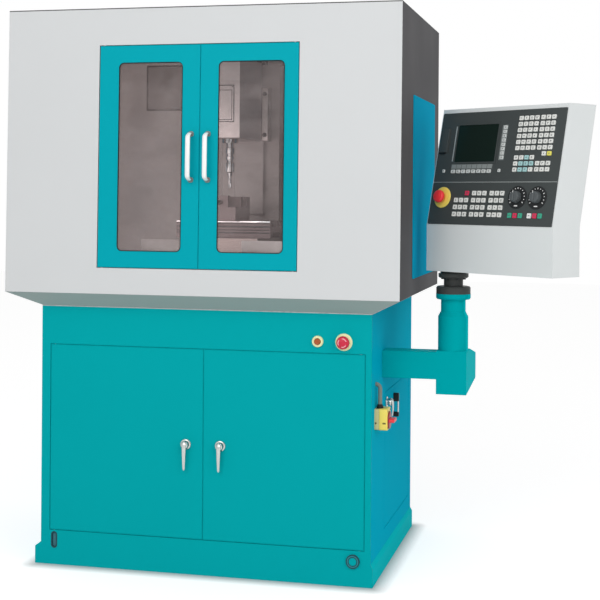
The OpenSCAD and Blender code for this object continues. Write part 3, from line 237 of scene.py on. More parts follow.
def ground_metal(name, colour, along, low=0.22, high=0.38, metallic=1.0):
    """Ground iron or steel: fine parallel grinding lines along one axis, brighter along them."""
    material, tree, out, place = blank(name)
    stretch = [per_mm(0.8)] * 3
    stretch["XYZ".index(along)] = per_mm(60)
    lines = add(tree, "ShaderNodeMapping", {"Scale": stretch}, {"Vector": place})
    streak = add(tree, "ShaderNodeTexNoise", {"Scale": 1.0, "Detail": 3.0},
                 {"Vector": lines.outputs[0]})
    surface(tree, out, {"Metallic": metallic}, {
        "Base Color": shades(tree, place, colour, 0.06, 60)[0],
        "Roughness": rough_range(tree, streak.outputs["Fac"], low, high),
        "Normal": relief(tree, streak.outputs["Fac"], 0.02, 0.35, 0.8),
    })
    return material


def plated_chrome(name, colour, low=0.06, high=0.14):
    """Bright chrome over polished die-cast zinc: mirror-like, with faint hand-polish haze."""
    material, tree, out, place = blank(name)
    tint, haze = shades(tree, place, colour, 0.03, 12)
    surface(tree, out, {"Metallic": 1.0},
            {"Base Color": tint, "Roughness": rough_range(tree, haze, low, high)})
    return material


def moulded_plastic(name, colour, grain_mm=0.8, low=0.30, high=0.42, gloss=0.25, spread=0.02):
    """Injection-moulded plastic: even colour, light spark-eroded texture, soft highlights."""
    return even_coat(name, colour, (spread, 30), (grain_mm, 2.0), (low, high), (0.03, 0.4),
                     {"IOR": 1.53, "Specular IOR Level": gloss})


def smoked_polycarbonate(name, colour, alpha=0.12):
    """Clear polycarbonate sheet, slightly smoked and hazed by coolant mist and wiping."""
    material, tree, out, place = blank(name)
    drips = add(tree, "ShaderNodeMapping", {"Scale": [per_mm(90), 1.0, per_mm(70)]},
                {"Vector": place})
    film = add(tree, "ShaderNodeTexNoise", {"Scale": 1.0, "Detail": 5.0},
               {"Vector": drips.outputs[0]})
    haze = add(tree, "ShaderNodeMapRange",
               {"From Min": 0.35, "From Max": 0.7, "To Min": alpha - 0.05, "To Max": alpha + 0.11},
               {"Value": film.outputs["Fac"]})
    surface(tree, out, {"Base Color": colour, "IOR": 1.58, "Specular IOR Level": 0.3}, {
        "Roughness": rough_range(tree, film.outputs["Fac"], 0.05, 0.12),
        "Alpha": haze.outputs["Result"],
    })
    return material


def lacquered_casting(name, colour):
    """Filler and enamel over cast iron: gentle lumps of 20 mm, satin gloss."""
    return even_coat(name, colour, (0.04, 80), (20, 6.0), (0.32, 0.48), (0.5, 0.35, 4.0),
                     {"IOR": ENAMEL_IOR, "Coat Weight": 0.2, "Coat Roughness": 0.25})


# What differs from a maker's usual values: each finish below names one of these or its own.
USUAL = {}
SATIN = {"low": 0.4, "high": 0.5}
DULL = {"low": 0.45, "high": 0.6}
RUBBERY = {"low": 0.5, "high": 0.65}
SHINY = {"gloss": 0.35}
THIN_COAT = {"edge_mm": 1.5}
SMOOTH_COAT = {"peel_mm": 1.5, "low": 0.35, "high": 0.45, "edge_mm": 1.0}
TURNED = {"along": "Z", "low": 0.12, "high": 0.25}

# Each finish: how it is made, its colours by hex or by the name of a user's colour, and what
# differs from that maker's usual values.
FINISHES = {
    "teal_stoving_enamel": (sprayed_enamel, "teal_enamel", {"gloss": 0.03}),
    "socket_washer_enamel": (sprayed_enamel, "#3C8C96", {"gloss": 0.02}),
    "slot_sleeve_enamel": (sprayed_enamel, "#4A7B86", {"gloss": 0.01}),
    # Faces of the plinth and arm that do not look to the front get a lighter teal: painted light
    # over their shade.
    "plinth_stoving_enamel": (two_tone_powder_coat, "teal_enamel #00C1C8", {"gloss": 0.004}),
    "door_stoving_enamel": (sprayed_enamel, "door_enamel", {"edge_mm": 1.5, "gloss": 0.03}),
    # A lighter, bluer copy of the cabinet's teal: painted light over the shade of the side and rear
    # panels.
    "side_stoving_enamel": (sprayed_enamel, "side_enamel",
                            {"low": 0.6, "high": 0.7, "gloss": 0.004}),
    # A lighter, bluer teal: painted light over the shade on the hood's sides.
    "cover_stoving_enamel": (sprayed_enamel, "cover_enamel",
                             {"low": 0.6, "high": 0.7, "edge_mm": 1.0, "gloss": 0.004}),
    "hood_powder_coat": (two_tone_powder_coat, "light_coat dark_coat", USUAL),
    # The skirt wears the hood's light and dark grey; both colours are drawn darker here, as painted
    # shade on its downward slopes.
    "skirt_powder_coat": (two_tone_powder_coat, "#A3B0AD #2B2D30", {"gloss": 0.03}),
    "dark_powder_coat": (hood_sheet_coat, "dark_coat #CBC4C1", USUAL),
    "filter_frame_coat": (powder_coat, "#6F6967", USUAL),
    "grey_powder_coat": (powder_coat, "#8F9698", USUAL),
    "pale_powder_coat": (powder_coat, "case_coat", THIN_COAT),
    "head_cover_coat": (powder_coat, "#DDD3D2", THIN_COAT),
    "galvanised_sheet": (galvanised_sheet, "#A7ABAA", USUAL),
    "column_enamel": (lacquered_casting, "#928C8A", USUAL),
    "cast_iron_enamel": (lacquered_casting, "#857B79", USUAL),
    "black_motor_enamel": (lacquered_casting, "#2E3133", USUAL),
    "pump_enamel": (lacquered_casting, "#3F464A", USUAL),
    "tool_steel": (ground_metal, "#9FA1A2", TURNED),
    "turned_steel": (ground_metal, "#D4D6D7", TURNED),
    "pin_steel": (ground_metal, "#B4B7B9", {"along": "Z"}),
    "ground_iron": (ground_metal, "#77706E", {"along": "X", "metallic": 0.9}),
    # Dark grey-brown iron for the table and vise; part of its darkness is painted shade low in the
    # hood.
    "oiled_iron": (ground_metal, "#584F50",
                   {"along": "X", "low": 0.4, "high": 0.55, "metallic": 0.5}),
    "brushed_aluminium": (ground_metal, "#A89E9C",
                          {"along": "X", "low": 0.4, "high": 0.55, "metallic": 0.3}),
    # A lighter copy of the brushed aluminium: painted light over the head's shade on the carriage
    # faces.
    "satin_aluminium": (ground_metal, "#E6DCD9",
                        {"along": "Z", "low": 0.4, "high": 0.55, "metallic": 0.3}),
    "black_oxide_steel": (ground_metal, "#2A2C2E",
                          {"along": "X", "low": 0.35, "high": 0.5, "metallic": 0.6}),
    "bright_chrome": (plated_chrome, "#E4E6E8", USUAL),
    "satin_chrome": (plated_chrome, "#C2C5C2", {"low": 0.16, "high": 0.26}),
    "smoked_window": (smoked_polycarbonate, "window", USUAL),
    "black_satin_enamel": (sprayed_enamel, "#2B2D2E", SMOOTH_COAT),
    "charcoal_satin_enamel": (sprayed_enamel, "#424443", SMOOTH_COAT),
    "window_rubber": (moulded_plastic, "#121617", RUBBERY),
    "socket_rubber": (moulded_plastic, "#1B4650", RUBBERY),
    "white_gloss_plastic": (moulded_plastic, "#F4F5F4", {"low": 0.18, "high": 0.28, "gloss": 0.5}),
    "foot_grey_plastic": (moulded_plastic, "#8E8682", USUAL),
    "drive_plastic": (moulded_plastic, "#A9AEAE", DULL),
    "dial_black_plastic": (moulded_plastic, "#1E2122", DULL),
    "conduit_brown_plastic": (moulded_plastic, "#82857B", DULL),
    "yellow_gloss_plastic": (moulded_plastic, "yellow", SHINY),
    "cream_plastic": (moulded_plastic, "#F1EDB6", SHINY),
    "sand_plastic": (moulded_plastic, "#D6C98F", SHINY),
    "red_gloss_plastic": (moulded_plastic, "red", SHINY),
    "crimson_plastic": (moulded_plastic, "#CB2140", SHINY),
    "maroon_plastic": (moulded_plastic, "#961E2A", SHINY),
    "orange_lens_plastic": (moulded_plastic, "#A9521F", SHINY),
    "arrow_pink_print": (moulded_plastic, "#F3A7AE", SATIN),
    "light_foil": (moulded_plastic, "#A9AFAE", SATIN),
    "legend_foil": (moulded_plastic, "#868C8B", SATIN),
    "grey_key_plastic": (moulded_plastic, "key", SATIN),
    "soft_key_plastic": (moulded_plastic, "#CDD1CF", SATIN),
    "teal_key_plastic": (moulded_plastic, "#A9D2D3", SATIN),
    "yellow_key_plastic": (moulded_plastic, "#E8E06A", SATIN),
    "red_key_plastic": (moulded_plastic, "#D5365A", SATIN),
    "green_key_plastic": (moulded_plastic, "#3FA98C", SATIN),
    "white_key_plastic": (moulded_plastic, "#F1F1F0", SATIN),
    "dial_grey_plastic": (moulded_plastic, "#565B5D", SATIN),
    "mark_ink": (moulded_plastic, "#5A5E5E", {"low": 0.5, "high": 0.6}),
    "printed_foil": (moulded_plastic, "foil",
                     {"grain_mm": 0.6, "low": 0.4, "high": 0.5, "gloss": 0.15}),
    "screen_acrylic": (moulded_plastic, "#182521",
                       {"grain_mm": 0.5, "low": 0.16, "high": 0.22, "gloss": 0.1}),
    "filter_fleece": (moulded_plastic, "#A39C99",
                      {"grain_mm": 2.5, "low": 0.8, "high": 0.95, "spread": 0.1}),
}


def tint_of(text):
    """A colour given by hex, or by the name of one that a user may change."""
    return linear(text) if text[0] == "#" else getattr(bpy.context.scene.machine_colours, text)


def finish(name):
    """The finish of that name, made the first time that it is asked for."""
    made = bpy.data.materials.get(name)
    if not made:
        maker, colours, options = FINISHES[name]
        made = maker(name, *map(tint_of, colours.split()), **options)
    return made


# --- What a user may change ----------------------------------------------------


def colour_property(label, hex_colour, text):
    """A colour that a user may change."""
    return bpy.props.FloatVectorProperty(name=label, description=text, subtype="COLOR", size=4,
                                         min=0.0, max=1.0, default=linear(hex_colour))


class MachineColours(bpy.types.PropertyGroup):
    """Colours of the machine's paints and plastics."""

    teal_enamel: colour_property("Cabinet enamel", "#00A5AB", "Front and plinth of the base")
    door_enamel: colour_property("Door enamel", "#03A4B2", "The two windowed doors")
    # Lighter and bluer than the front teal: painted light over the shade of the side panels.
    side_enamel: colour_property("Side enamel", "#00B2CF", "Side and rear panels of the base")
    # Lighter and bluer than the doors' teal: painted light over the shade of the hood's sides.
    cover_enamel: colour_property("Cover enamel", "#00A5CB", "Covers on the hood's sides")
    light_coat: colour_property("Light powder coat", "#D2D4D5", "Front of the hood")
    dark_coat: colour_property("Dark powder coat", "#545355", "Sides, back and roof of the hood")
    case_coat: colour_property("Case powder coat", "#DFE3E3", "Case of the pendant")
    foil: colour_property("Panel foil", "#454A4A", "Printed foil of the control panels")
    key: colour_property("Key colour", "#E6E7E3", "Plain keys of the control panels")
    yellow: colour_property("Yellow plastic", "#F7DC66", "Shrouds of the stop buttons")
    red: colour_property("Red plastic", "#F0383F", "Mushroom heads of the stop buttons")
    window: colour_property("Window tint", "#9C8E8D", "Smoke tint of the window sheet")


def length_property(label, value_mm, low_mm, high_mm, text):
    """A length that a user may change, given in millimetres."""
    return bpy.props.FloatProperty(name=label, description=text, subtype="DISTANCE", unit="LENGTH",
                                   default=value_mm * MM, min=low_mm * MM, max=high_mm * MM)


class MachineSizes(bpy.types.PropertyGroup):
    """Sizes of the detail pieces."""

    key_rise: length_property("Key height", 3.4, 1.5, 5.0, "How far a key stands out of the foil")
    key_corner: length_property("Key corner", 2.0, 0.5, 4.0, "Corner radius of a key")
    gasket_w: length_property("Gasket width", 2.4, 1.6, 6.0, "Visible width of a window's rubber")
    handle_w: length_property("Handle width", 15.0, 12.0, 18.0, "Width of a bow handle's grip")
    grip_d: length_property("Lever width", 15.0, 12.0, 18.0, "Width of a latch lever near its hub")
    screw_d: length_property("Screw head", 9.0, 6.0, 12.0, "Diameter of the cover screws' heads")
    rib_pitch: length_property("Conduit rib", 3.2, 2.0, 5.0, "Distance between the conduit's ribs")
    tick_l: length_property("Dial tick", 4.0, 2.0, 6.0, "Length of the ticks round a dial")


# --- Places on the machine -----------------------------------------------------

HINGE_DEPTH = 6.0  # the hinge axes lie this far behind the doors' faces, in mm
HINGE_UP = 427.0  # height of the hood hinges' reference point up the front, in mm
DIALS = ((344.0, 86.0), (418.0, 85.0))  # the dials' places on the control panels, in mm


def joint(name):
    """A joint of the frame by its name."""
    return next(j for j in frame["joints"] if j["name"] == name)


def face_frame(origin, right, up):
    """A local frame on a face: x to the right, y up the face, z straight out of it."""
    right = Vector(right).normalized()
    out = right.cross(Vector(up)).normalized()
    axes = Matrix((right, out.cross(right), out)).transposed().to_4x4()
    axes.translation = Vector(origin)
    return axes


def moved(place, x, y, z=0.0):
    """A face frame moved by millimetres within itself."""
    return place @ Matrix.Translation(Vector((x, y, z)) * MM)


def extent(place, node):
    """A node's box within a face frame, in millimetres: middle x and y, width and height."""
    a, b = (place.inverted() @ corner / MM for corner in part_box(node))
    return (a.x + b.x) / 2, (a.y + b.y) / 2, abs(b.x - a.x), abs(b.y - a.y)


def from_front(y):
    """A face frame that looks to the front at a depth, from the floor and the middle."""
    return face_frame((0, y, 0), (1, 0, 0), (0, 0, 1))


def base_front():
    """The front of the base, measured from the floor and the machine's middle."""
    return from_front(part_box("base_front_frame")[0].y)


def base_right():
    """The right side of the base: x runs to the back."""
    return face_frame((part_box("base_right_panel")[1].x, 0, 0), (0, 1, 0), (0, 0, 1))


def hood_front():
    """The leaning front of the hood, measured from its foot and the machine's middle."""
    hinge = joint("hood_door_right_hinge")
    up = Vector(hinge["axis"])
    place = face_frame((0, hinge["pos_m"][1], hinge["pos_m"][2]), (1, 0, 0), up)
    return moved(place, 0, -HINGE_UP, HINGE_DEPTH)


def panel_front():
    """The control panels, measured from the lower panel's lower left corner."""
    dial = joint("feed_dial_turn")
    inward = Vector(dial["axis"])
    right = Vector((inward.y, -inward.x, 0)).normalized()
    place = face_frame(dial["pos_m"], right, right.cross(inward))
    return moved(place, -DIALS[0][0], -DIALS[0][1])


# --- Mesh helpers: all sizes in millimetres within a face frame ----------------

SHARP = math.radians(32)  # edges that turn by more than this stay sharp


def polar(r, a, x=0.0, y=0.0):
    """A point at a radius and an angle round a middle."""
    return x + r * math.cos(a), y + r * math.sin(a)


def ring_round(w, h, r, z, x=0.0, y=0.0, steps=5):
    """The outline of a rectangle with round corners, as a ring at height z."""
    points = []
    for k, (sx, sy) in enumerate(((1, 1), (-1, 1), (-1, -1), (1, -1))):
        for i in range(steps + 1):
            a = math.pi / 2 * (k + i / steps)
            points.append((*polar(r, a, x + sx * (w / 2 - r), y + sy * (h / 2 - r)), z))
    return points


def ring_circle(r, z, steps):
    """A circle as a ring at height z."""
    return [(*polar(r, 2 * math.pi * i / steps), z) for i in range(steps)]


def flat(mesh, place, corners, slot):
    """One flat face from its corners."""
    verts = [mesh.verts.new(place @ (Vector(p) * MM)) for p in corners]
    mesh.faces.new(verts).material_index = slot


def skin(mesh, place, rings, start=True, end=True, slot=0):
    """Skins a row of rings and closes its ends where asked."""
    rows = [[mesh.verts.new(place @ (Vector(p) * MM)) for p in ring] for ring in rings]
    faces = []
    for low, high in zip(rows, rows[1:]):
        for i in range(len(low)):
            j = (i + 1) % len(low)
            faces.append(mesh.faces.new((low[i], low[j], high[j], high[i])))
    if start:
        faces.append(mesh.faces.new(rows[0][::-1]))
    if end:
        faces.append(mesh.faces.new(rows[-1]))
    for face in faces:
        face.material_index = slot
        face.smooth = True
    return faces


def pad(mesh, place, w, h, r, z0, z1, soft=1.0, slot=0, dish=0.0):
    """A block with round corners and a softened upper edge; dish sinks its top's middle."""
    rings = [ring_round(w, h, r, z0)]
    for k in range(4):
        a = math.pi / 2 * k / 3
        inset = soft * (1 - math.cos(a))
        z = z1 - soft + soft * math.sin(a)
        rings.append(ring_round(w - 2 * inset, h - 2 * inset, max(r - inset, 0.2), z))
    if dish:
        inset = soft + min(w, h) * 0.18
        rings.append(ring_round(w - 2 * inset, h - 2 * inset, max(r - inset, 0.2), z1 - dish))
    return skin(mesh, place, rings, slot=slot)


def turned(mesh, place, profile, steps=32, slot=0, start=True, end=True):
    """A turned piece from its profile of radius and height."""
    return skin(mesh, place, [ring_circle(r, z, steps) for r, z in profile], start, end, slot)


def swept(mesh, place, path, section, slot=0):
    """A section of (x, y) points, scaled by each path point's fourth number, along a path."""
    rings = []
    side = Vector((1, 0, 0))
    for i, point in enumerate(path):
        before = Vector(path[max(i - 1, 0)][:3])
        after = Vector(path[min(i + 1, len(path) - 1)][:3])
        ahead = (after - before).normalized()
        side = (side - ahead * side.dot(ahead)).normalized()
        across = ahead.cross(side)
        scale = point[3] if len(point) > 3 else 1.0
        centre = Vector(point[:3])
        rings.append([tuple(centre + (side * u + across * v) * scale) for u, v in section])
    return skin(mesh, place, rings, slot=slot)


def oval(w, h, steps=16):
    """An oval section of a width and a height."""
    turn = 2 * math.pi / steps
    return [(w / 2 * math.cos(turn * i), h / 2 * math.sin(turn * i)) for i in range(steps)]


def piece(mesh, name, body, finishes):
    """Turns a mesh under construction into a piece that rides on a body of the frame."""
    bmesh.ops.recalc_face_normals(mesh, faces=mesh.faces[:])
    for edge in mesh.edges:
        edge.smooth = edge.calc_face_angle(0.0) < SHARP
    data = bpy.data.meshes.new(name)
    mesh.to_mesh(data)
    mesh.free()
    for finish_name in finishes:
        data.materials.append(finish(finish_name))
    made = bpy.data.objects.new(name, data)
    bpy.context.scene.collection.objects.link(made)
    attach(made, body)
    return made


# --- The machine's solids ------------------------------------------------------


NODE_FINISHES = {
    "teal_stoving_enamel": "base_front_frame base_door_left base_door_right",
    "plinth_stoving_enamel": "base_plinth pendant_arm",
    "side_stoving_enamel": "base_left_panel base_right_panel base_rear_panel side_door",
    "door_stoving_enamel": "hood_door_left hood_door_right",
    "cover_stoving_enamel": "hood_side_covers",
    "hood_powder_coat": "hood_front_frame",
    "skirt_powder_coat": "hood_skirt",
    "dark_powder_coat": "hood_left_panel hood_right_panel hood_rear_panel hood_roof",
    "grey_powder_coat": "coolant_tank chip_tray",
    "pale_powder_coat": "pendant_case",
    "head_cover_coat": "head_cover",
    "galvanised_sheet": "base_floor base_deck",
    "cast_iron_enamel": "mill_head",
    "column_enamel": "machine_bed column",
    "black_motor_enamel": "servo_motors",
    "pump_enamel": "coolant_pump",
    "ground_iron": "saddle",
    "oiled_iron": "table vise_body vise_jaw",
    "turned_steel": "spindle",
    "pin_steel": "hinge_pins",
    "satin_chrome": "base_latch_left base_latch_right side_latch",
    "smoked_window": "hood_window_left hood_window_right",
    "white_gloss_plastic": "hood_handle_left hood_handle_right",
    "black_satin_enamel": "side_pull",
    "charcoal_satin_enamel": "swivel_base swivel_head",
    "drive_plastic": "drive_units",
    "yellow_gloss_plastic": "switch_box button_bezels pendant_stop_ring",
    "red_gloss_plastic": "switch_handle base_stop_button pendant_stop_button",
    "orange_lens_plastic": "start_button",
    "printed_foil": "pendant_panels",
    "grey_key_plastic": "pendant_keys",
    "screen_acrylic": "pendant_screen",
    "dial_grey_plastic": "feed_dial speed_dial",
    "conduit_brown_plastic": "switch_conduit",
    "socket_rubber": "lifting_sockets",
}


class MACHINE_OT_finishes(bpy.types.Operator):
    """Paints, plates and grinds every solid of the frame"""

    bl_idname = "machine.finishes"
    bl_label = "Finishes"

    def execute(self, context):
        for finish_name, nodes in NODE_FINISHES.items():
            for node in nodes.split():
                materials = NODES[node].data.materials
                for i in range(len(materials)):
                    materials[i] = finish(finish_name)
                if not materials:
                    materials.append(finish(finish_name))
        return {"FINISHED"}


# --- Base: levers, sockets and push buttons ------------------------------------

SOCKET_UP = 77.0  # height of the round socket above the floor, in mm
SOCKET_R = 21.0  # outer radius of the round socket, and width of the oblong slot, in mm
SLOT_WALL = 4.0  # wall of the oblong slot, in mm
PLUG_R = 12.2  # radius of the plug in the round socket, in mm
WASHER_R = 14.4  # inner radius of the washer round the plug's rubber, in mm
RUBBER_W = 2.8  # width of the outer rubber ring, in mm
BUTTON_HOLE = 12.7  # radius of a push button's body behind the sheet, in mm
ARROW_R = 12.8  # middle radius of the arcs on the stop button, in mm
ARROW_HALF = 1.5  # half the width of those arcs, in mm
ARROW_UP = 27.6  # height of those arcs on the button, in mm


def lever_latch(name, node, place, length, neck):
    """A chrome hub with a flange and a hanging, tapered lever that ends in a rounded tip."""
    grip = bpy.context.scene.machine_sizes.grip_d / MM
    mesh = bmesh.new()
    turned(mesh, place, ((17, 0.2), (17, 3), (16, 4.4), (13.5, 5.2), (12, 5.4)), end=False)
    # The neck between flange and hub takes the neck finish; on the door levers it is dark steel, as
    # painted shade in the gap under the hub.
    turned(mesh, place, ((12, 5.4), (11.4, 6), (11.4, 11)), slot=1, start=False, end=False)
    turned(mesh, place, ((11.4, 11), (12.2, 11.4), (12.2, 15), (11, 17.5), (8, 19), (0.5, 19)),
           start=False)
    path = [(0, 10.5, 14.5, 0.35), (0, 9.6, 16.5, 0.72), (0, 6.5, 18.8, 0.95), (0, 1, 20.4, 1.0)]
    for k in range(1, 9):
        t = k / 8
        path.append((0, 1 - (length - 6) * t, 20.4 + 1.2 * math.sin(math.pi * t), 1.0 - 0.45 * t))
    path += [(0, 2.2 - length, 20.2, 0.44), (0, 0.6 - length, 20.0, 0.22)]
    swept(mesh, place, path, oval(grip, grip * 0.55))
    made = piece(mesh, name, node, ["satin_chrome", neck])
    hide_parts(node)


class MACHINE_OT_levers(bpy.types.Operator):
    """Chrome lever latches of the base's doors"""

    bl_idname = "machine.levers"
    bl_label = "Door levers"

    def execute(self, context):
        for side in ("left", "right"):
            node = f"base_latch_{side}"
            hub = joint(f"{node}_turn")["pos_m"]
            place = face_frame(hub, (1, 0, 0), (0, 0, 1))
            length = (hub[2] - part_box(node)[0].z) / MM - 4
            # The dark neck paints the shade between the flange and the hub.
            lever_latch(f"door_lever_{side}", node, place, length, "black_oxide_steel")
        return {"FINISHED"}


class MACHINE_OT_sockets(bpy.types.Operator):
    """Rings and painted plug of the round socket, and the sleeve of the oblong slot"""

    bl_idname = "machine.sockets"
    bl_label = "Lifting sockets"

    def execute(self, context):
        low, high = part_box("lifting_sockets")
        place = moved(base_front(), high.x / MM - SOCKET_R, SOCKET_UP)
        for name, inner, rim, top, finish_name in (
            ("socket_ring", SOCKET_R - RUBBER_W, SOCKET_R, 6.4, "socket_rubber"),
            ("socket_washer", WASHER_R, SOCKET_R - RUBBER_W, 5.9, "socket_washer_enamel"),
            ("socket_gasket", PLUG_R, WASHER_R, 6.3, "socket_rubber"),
        ):
            mesh = bmesh.new()
            turned(mesh, place, ((inner, -6), (inner, top - 0.6), (inner + 0.6, top),
                                 (rim - 0.6, top), (rim, top - 0.6), (rim, 0)),
                   start=False, end=False)
            piece(mesh, name, "cabinet", [finish_name])
        mesh = bmesh.new()
        turned(mesh, place, ((PLUG_R, -8), (PLUG_R, 5.2), (11.6, 5.7), (0.5, 5.8)))
        piece(mesh, "socket_plug", "cabinet", ["teal_stoving_enamel"])
        # The oblong slot: a painted sleeve inside the dark wall, open to the front.
        slot = moved(base_front(), low.x / MM + SOCKET_R / 2, (low.z + high.z) / 2 / MM)
        wide = SOCKET_R - 2 * SLOT_WALL - 0.2
        tall = (high.z - low.z) / MM - 2 * SLOT_WALL - 0.2
        mesh = bmesh.new()
        pad(mesh, slot, wide, tall, wide / 2 - 0.05, -12.0, -5.0, 0.6)
        piece(mesh, "slot_sleeve", "cabinet", ["slot_sleeve_enamel"])
        return {"FINISHED"}


def collar(name, body, place, profile, finish_name, steps=56):
    """A yellow collar round a push button, open to its body behind the sheet."""
    mesh = bmesh.new()
    turned(mesh, place, ((BUTTON_HOLE, -30), (BUTTON_HOLE, 0), *profile), steps, start=False,
           end=False)
    return piece(mesh, name, body, [finish_name])


def stop_button(name, node, place, head, arrows):
    """A red mushroom head; arrows adds the light arcs that show the release turn."""
    mesh = bmesh.new()
    turned(mesh, place, ((7, -8), (7, 10), (11, 10), (14, 13), (19, 14), (20, 17), (19.7, 21),
                         (18, 24.4), (15.4, 26), (12.6, 26.3), (12, 27.2), (7, 28.4), (0.4, 28.8)),
           48)
    steps = 8
    for arc in range(3 if arrows else 0):
        outer = []
        inner = []
        for i in range(steps + 1):
            a = math.radians(120 * arc + 20) + math.radians(82) * i / steps
            half = ARROW_HALF * (1.0 if i < steps - 1 else 0.15)
            outer.append((*polar(ARROW_R + half, a), ARROW_UP))
            inner.append((*polar(ARROW_R - half, a), ARROW_UP))
        for i in range(steps):
            flat(mesh, place, (outer[i], outer[i + 1], inner[i + 1], inner[i]), 1)
    made = piece(mesh, name, node, [head, "arrow_pink_print"])
    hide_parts(node)


class MACHINE_OT_push_buttons(bpy.types.Operator):
    """Start button and emergency stop on the base's front"""

    bl_idname = "machine.push_buttons"
    bl_label = "Push buttons"

    def execute(self, context):
        front = base_front()
        place = moved(front, *extent(front, "start_button")[:2])
        collar("start_bezel", "cabinet", place,
               ((17.6, 0), (17.6, 4.5), (17, 6.4), (15.6, 7.8), (12.4, 8.4), (10.6, 8.0),
                (10.2, 6), (10.2, -28)), "cream_plastic", 48)
        mesh = bmesh.new()
        turned(mesh, place, ((9.5, -26), (9.5, 11.4), (8.9, 12.9), (7.4, 13.8), (5.5, 13.4),
                             (0.4, 13.0)), 40)
        cap = piece(mesh, "start_cap", "start_button", ["orange_lens_plastic"])
        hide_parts("start_button")
        place = moved(front, *extent(front, "base_stop_button")[:2])
        rings = collar("stop_shroud", "cabinet", place,
                       ((26.4, 0), (26.4, 1.6), (25.6, 3.0), (24, 3.9), (17, 4.3), (9, 4.3),
                        (7.3, 3.6), (7.3, -28)), "cream_plastic")
        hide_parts("button_bezels")
        stop_button("stop_mushroom", "base_stop_button", place, "crimson_plastic", True)
        return {"FINISHED"}


# --- Switch station and side latch ---------------------------------------------

GLAND = 8.0  # the switch box's node rises this far above its housing, in mm
SPLIT = 14.0  # depth of the housing's back half, in mm
BEND_STEPS = 8  # ribs along the conduit's bend


class MACHINE_OT_switch_station(bpy.types.Operator):
    """Main switch: moulded yellow box, red turning handle, ribbed conduit and its gland"""

    bl_idname = "machine.switch_station"
    bl_label = "Main switch"

    def execute(self, context):
        self.side = base_right()
        self.housing()
        self.grip()
        self.conduit(context.scene.machine_sizes.rib_pitch / MM)
        return {"FINISHED"}

    def housing(self):
        """A box in two halves with corner screws, and dark patches that paint the shade of fixing
        slots.
        """
        low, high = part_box("switch_box")
        out = (high.x - low.x) / MM
        w = (high.y - low.y) / MM
        h = (high.z - low.z) / MM - GLAND
        place = moved(self.side, (low.y + high.y) / 2 / MM, low.z / MM + h / 2)
        mesh = bmesh.new()
        pad(mesh, place, w - 1.6, h - 1.6, 6, 0, SPLIT, soft=0.5, slot=3)
        pad(mesh, place, w - 4, h - 4, 5, SPLIT - 1, SPLIT + 2, soft=0.1, slot=2)
        pad(mesh, place, w, h, 7, SPLIT + 0.9, out, soft=2.5)
        screw = ((3.4, out - 1), (3.4, out + 0.2), (2.9, out + 0.6), (0.4, out + 0.6))
        for dx in (-w / 2 + 9, w / 2 - 9):
            for dy in (-h / 2 + 8, h / 2 - 8):
                turned(mesh, moved(place, dx, dy), screw, 16, 1)
        # dark patches on the side that faces the operator, as painted shade of fixing slots
        edge = face_frame(place @ (Vector((-w / 2, 0, 0)) * MM), (1, 0, 0), (0, 0, 1))
        for along in (4.5, 27.5, 32.5):
            pad(mesh, moved(edge, along, -11), 4.0, 5.5, 1.8, -1, 0.5, 0.3, slot=2)
        made = piece(mesh, "switch_housing", "cabinet",
                     ["yellow_gloss_plastic", "black_oxide_steel", "window_rubber",
                      "sand_plastic"])
        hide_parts("switch_box")

    def grip(self):
        """A disc with a raised bar and a white pointer mark."""
        place = face_frame(joint("main_switch_turn")["pos_m"], (0, 1, 0), (0, 0, 1))
        disc = extent(place, "switch_handle")[3] / 2
        mesh = bmesh.new()
        # The disc is the handle's red plastic, drawn in a darker red as painted shade.
        turned(mesh, place, ((7.5, -13), (7.5, 0.4), (disc, 0.4), (disc, 2.4), (disc - 1, 3.6),
                             (disc - 3, 4.2), (0.5, 4.2)), 48, slot=2)
        pad(mesh, place, 2 * disc - 6, 11, 4.5, 3.5, 20, soft=2.5)
        pad(mesh, moved(place, disc - 9, 0), 7, 2.4, 1, 19.5, 20.4, 0.3, slot=1)
        made = piece(mesh, "switch_grip", "switch_handle",
                     ["red_gloss_plastic", "white_key_plastic", "maroon_plastic"])
        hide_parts("switch_handle")

    def conduit(self, pitch):
        """A ribbed tube that rises from the box and bends into the cabinet."""
        low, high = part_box("switch_conduit")
        r = (high.y - low.y) / 2 / MM
        y = (low.y + high.y) / 2 / MM
        out = (high.x - self.side.translation.x) / MM - r  # also the radius of the bend
        foot = low.z / MM
        start = high.z / MM - r - out  # height at which the bend starts
        straight = start - foot
        path = []
        count = int(straight / pitch)
        for k in range(count):
            z = foot + straight * k / count
            for rise, scale in ((0.0, 0.9), (0.3, 1.0), (0.65, 1.0)):
                path.append((y, z + pitch * rise, out, scale))
        for k in range(BEND_STEPS + 1):
            for share, scale in ((0.0, 0.9), (0.4, 1.0), (0.7, 1.0)):
                a = math.pi / 2 * (k + share) / BEND_STEPS
                if a <= math.pi / 2:
                    path.append((y, start + out * math.sin(a), out * math.cos(a), scale))
        mesh = bmesh.new()
        swept(mesh, self.side, path, oval(2 * r, 2 * r, 20))
        made = piece(mesh, "ribbed_conduit", "cabinet",
                     ["conduit_brown_plastic"])
        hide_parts("switch_conduit")
        mesh = bmesh.new()
        up = face_frame(self.side @ (Vector((y, foot - 9, out)) * MM), (1, 0, 0), (0, 1, 0))
        turned(mesh, up, ((10.5, -1), (10.5, 4), (9.6, 4.6), (9.6, 9), (8, 12), (6.8, 13)), 24)
        piece(mesh, "conduit_gland", "cabinet", ["window_rubber"])


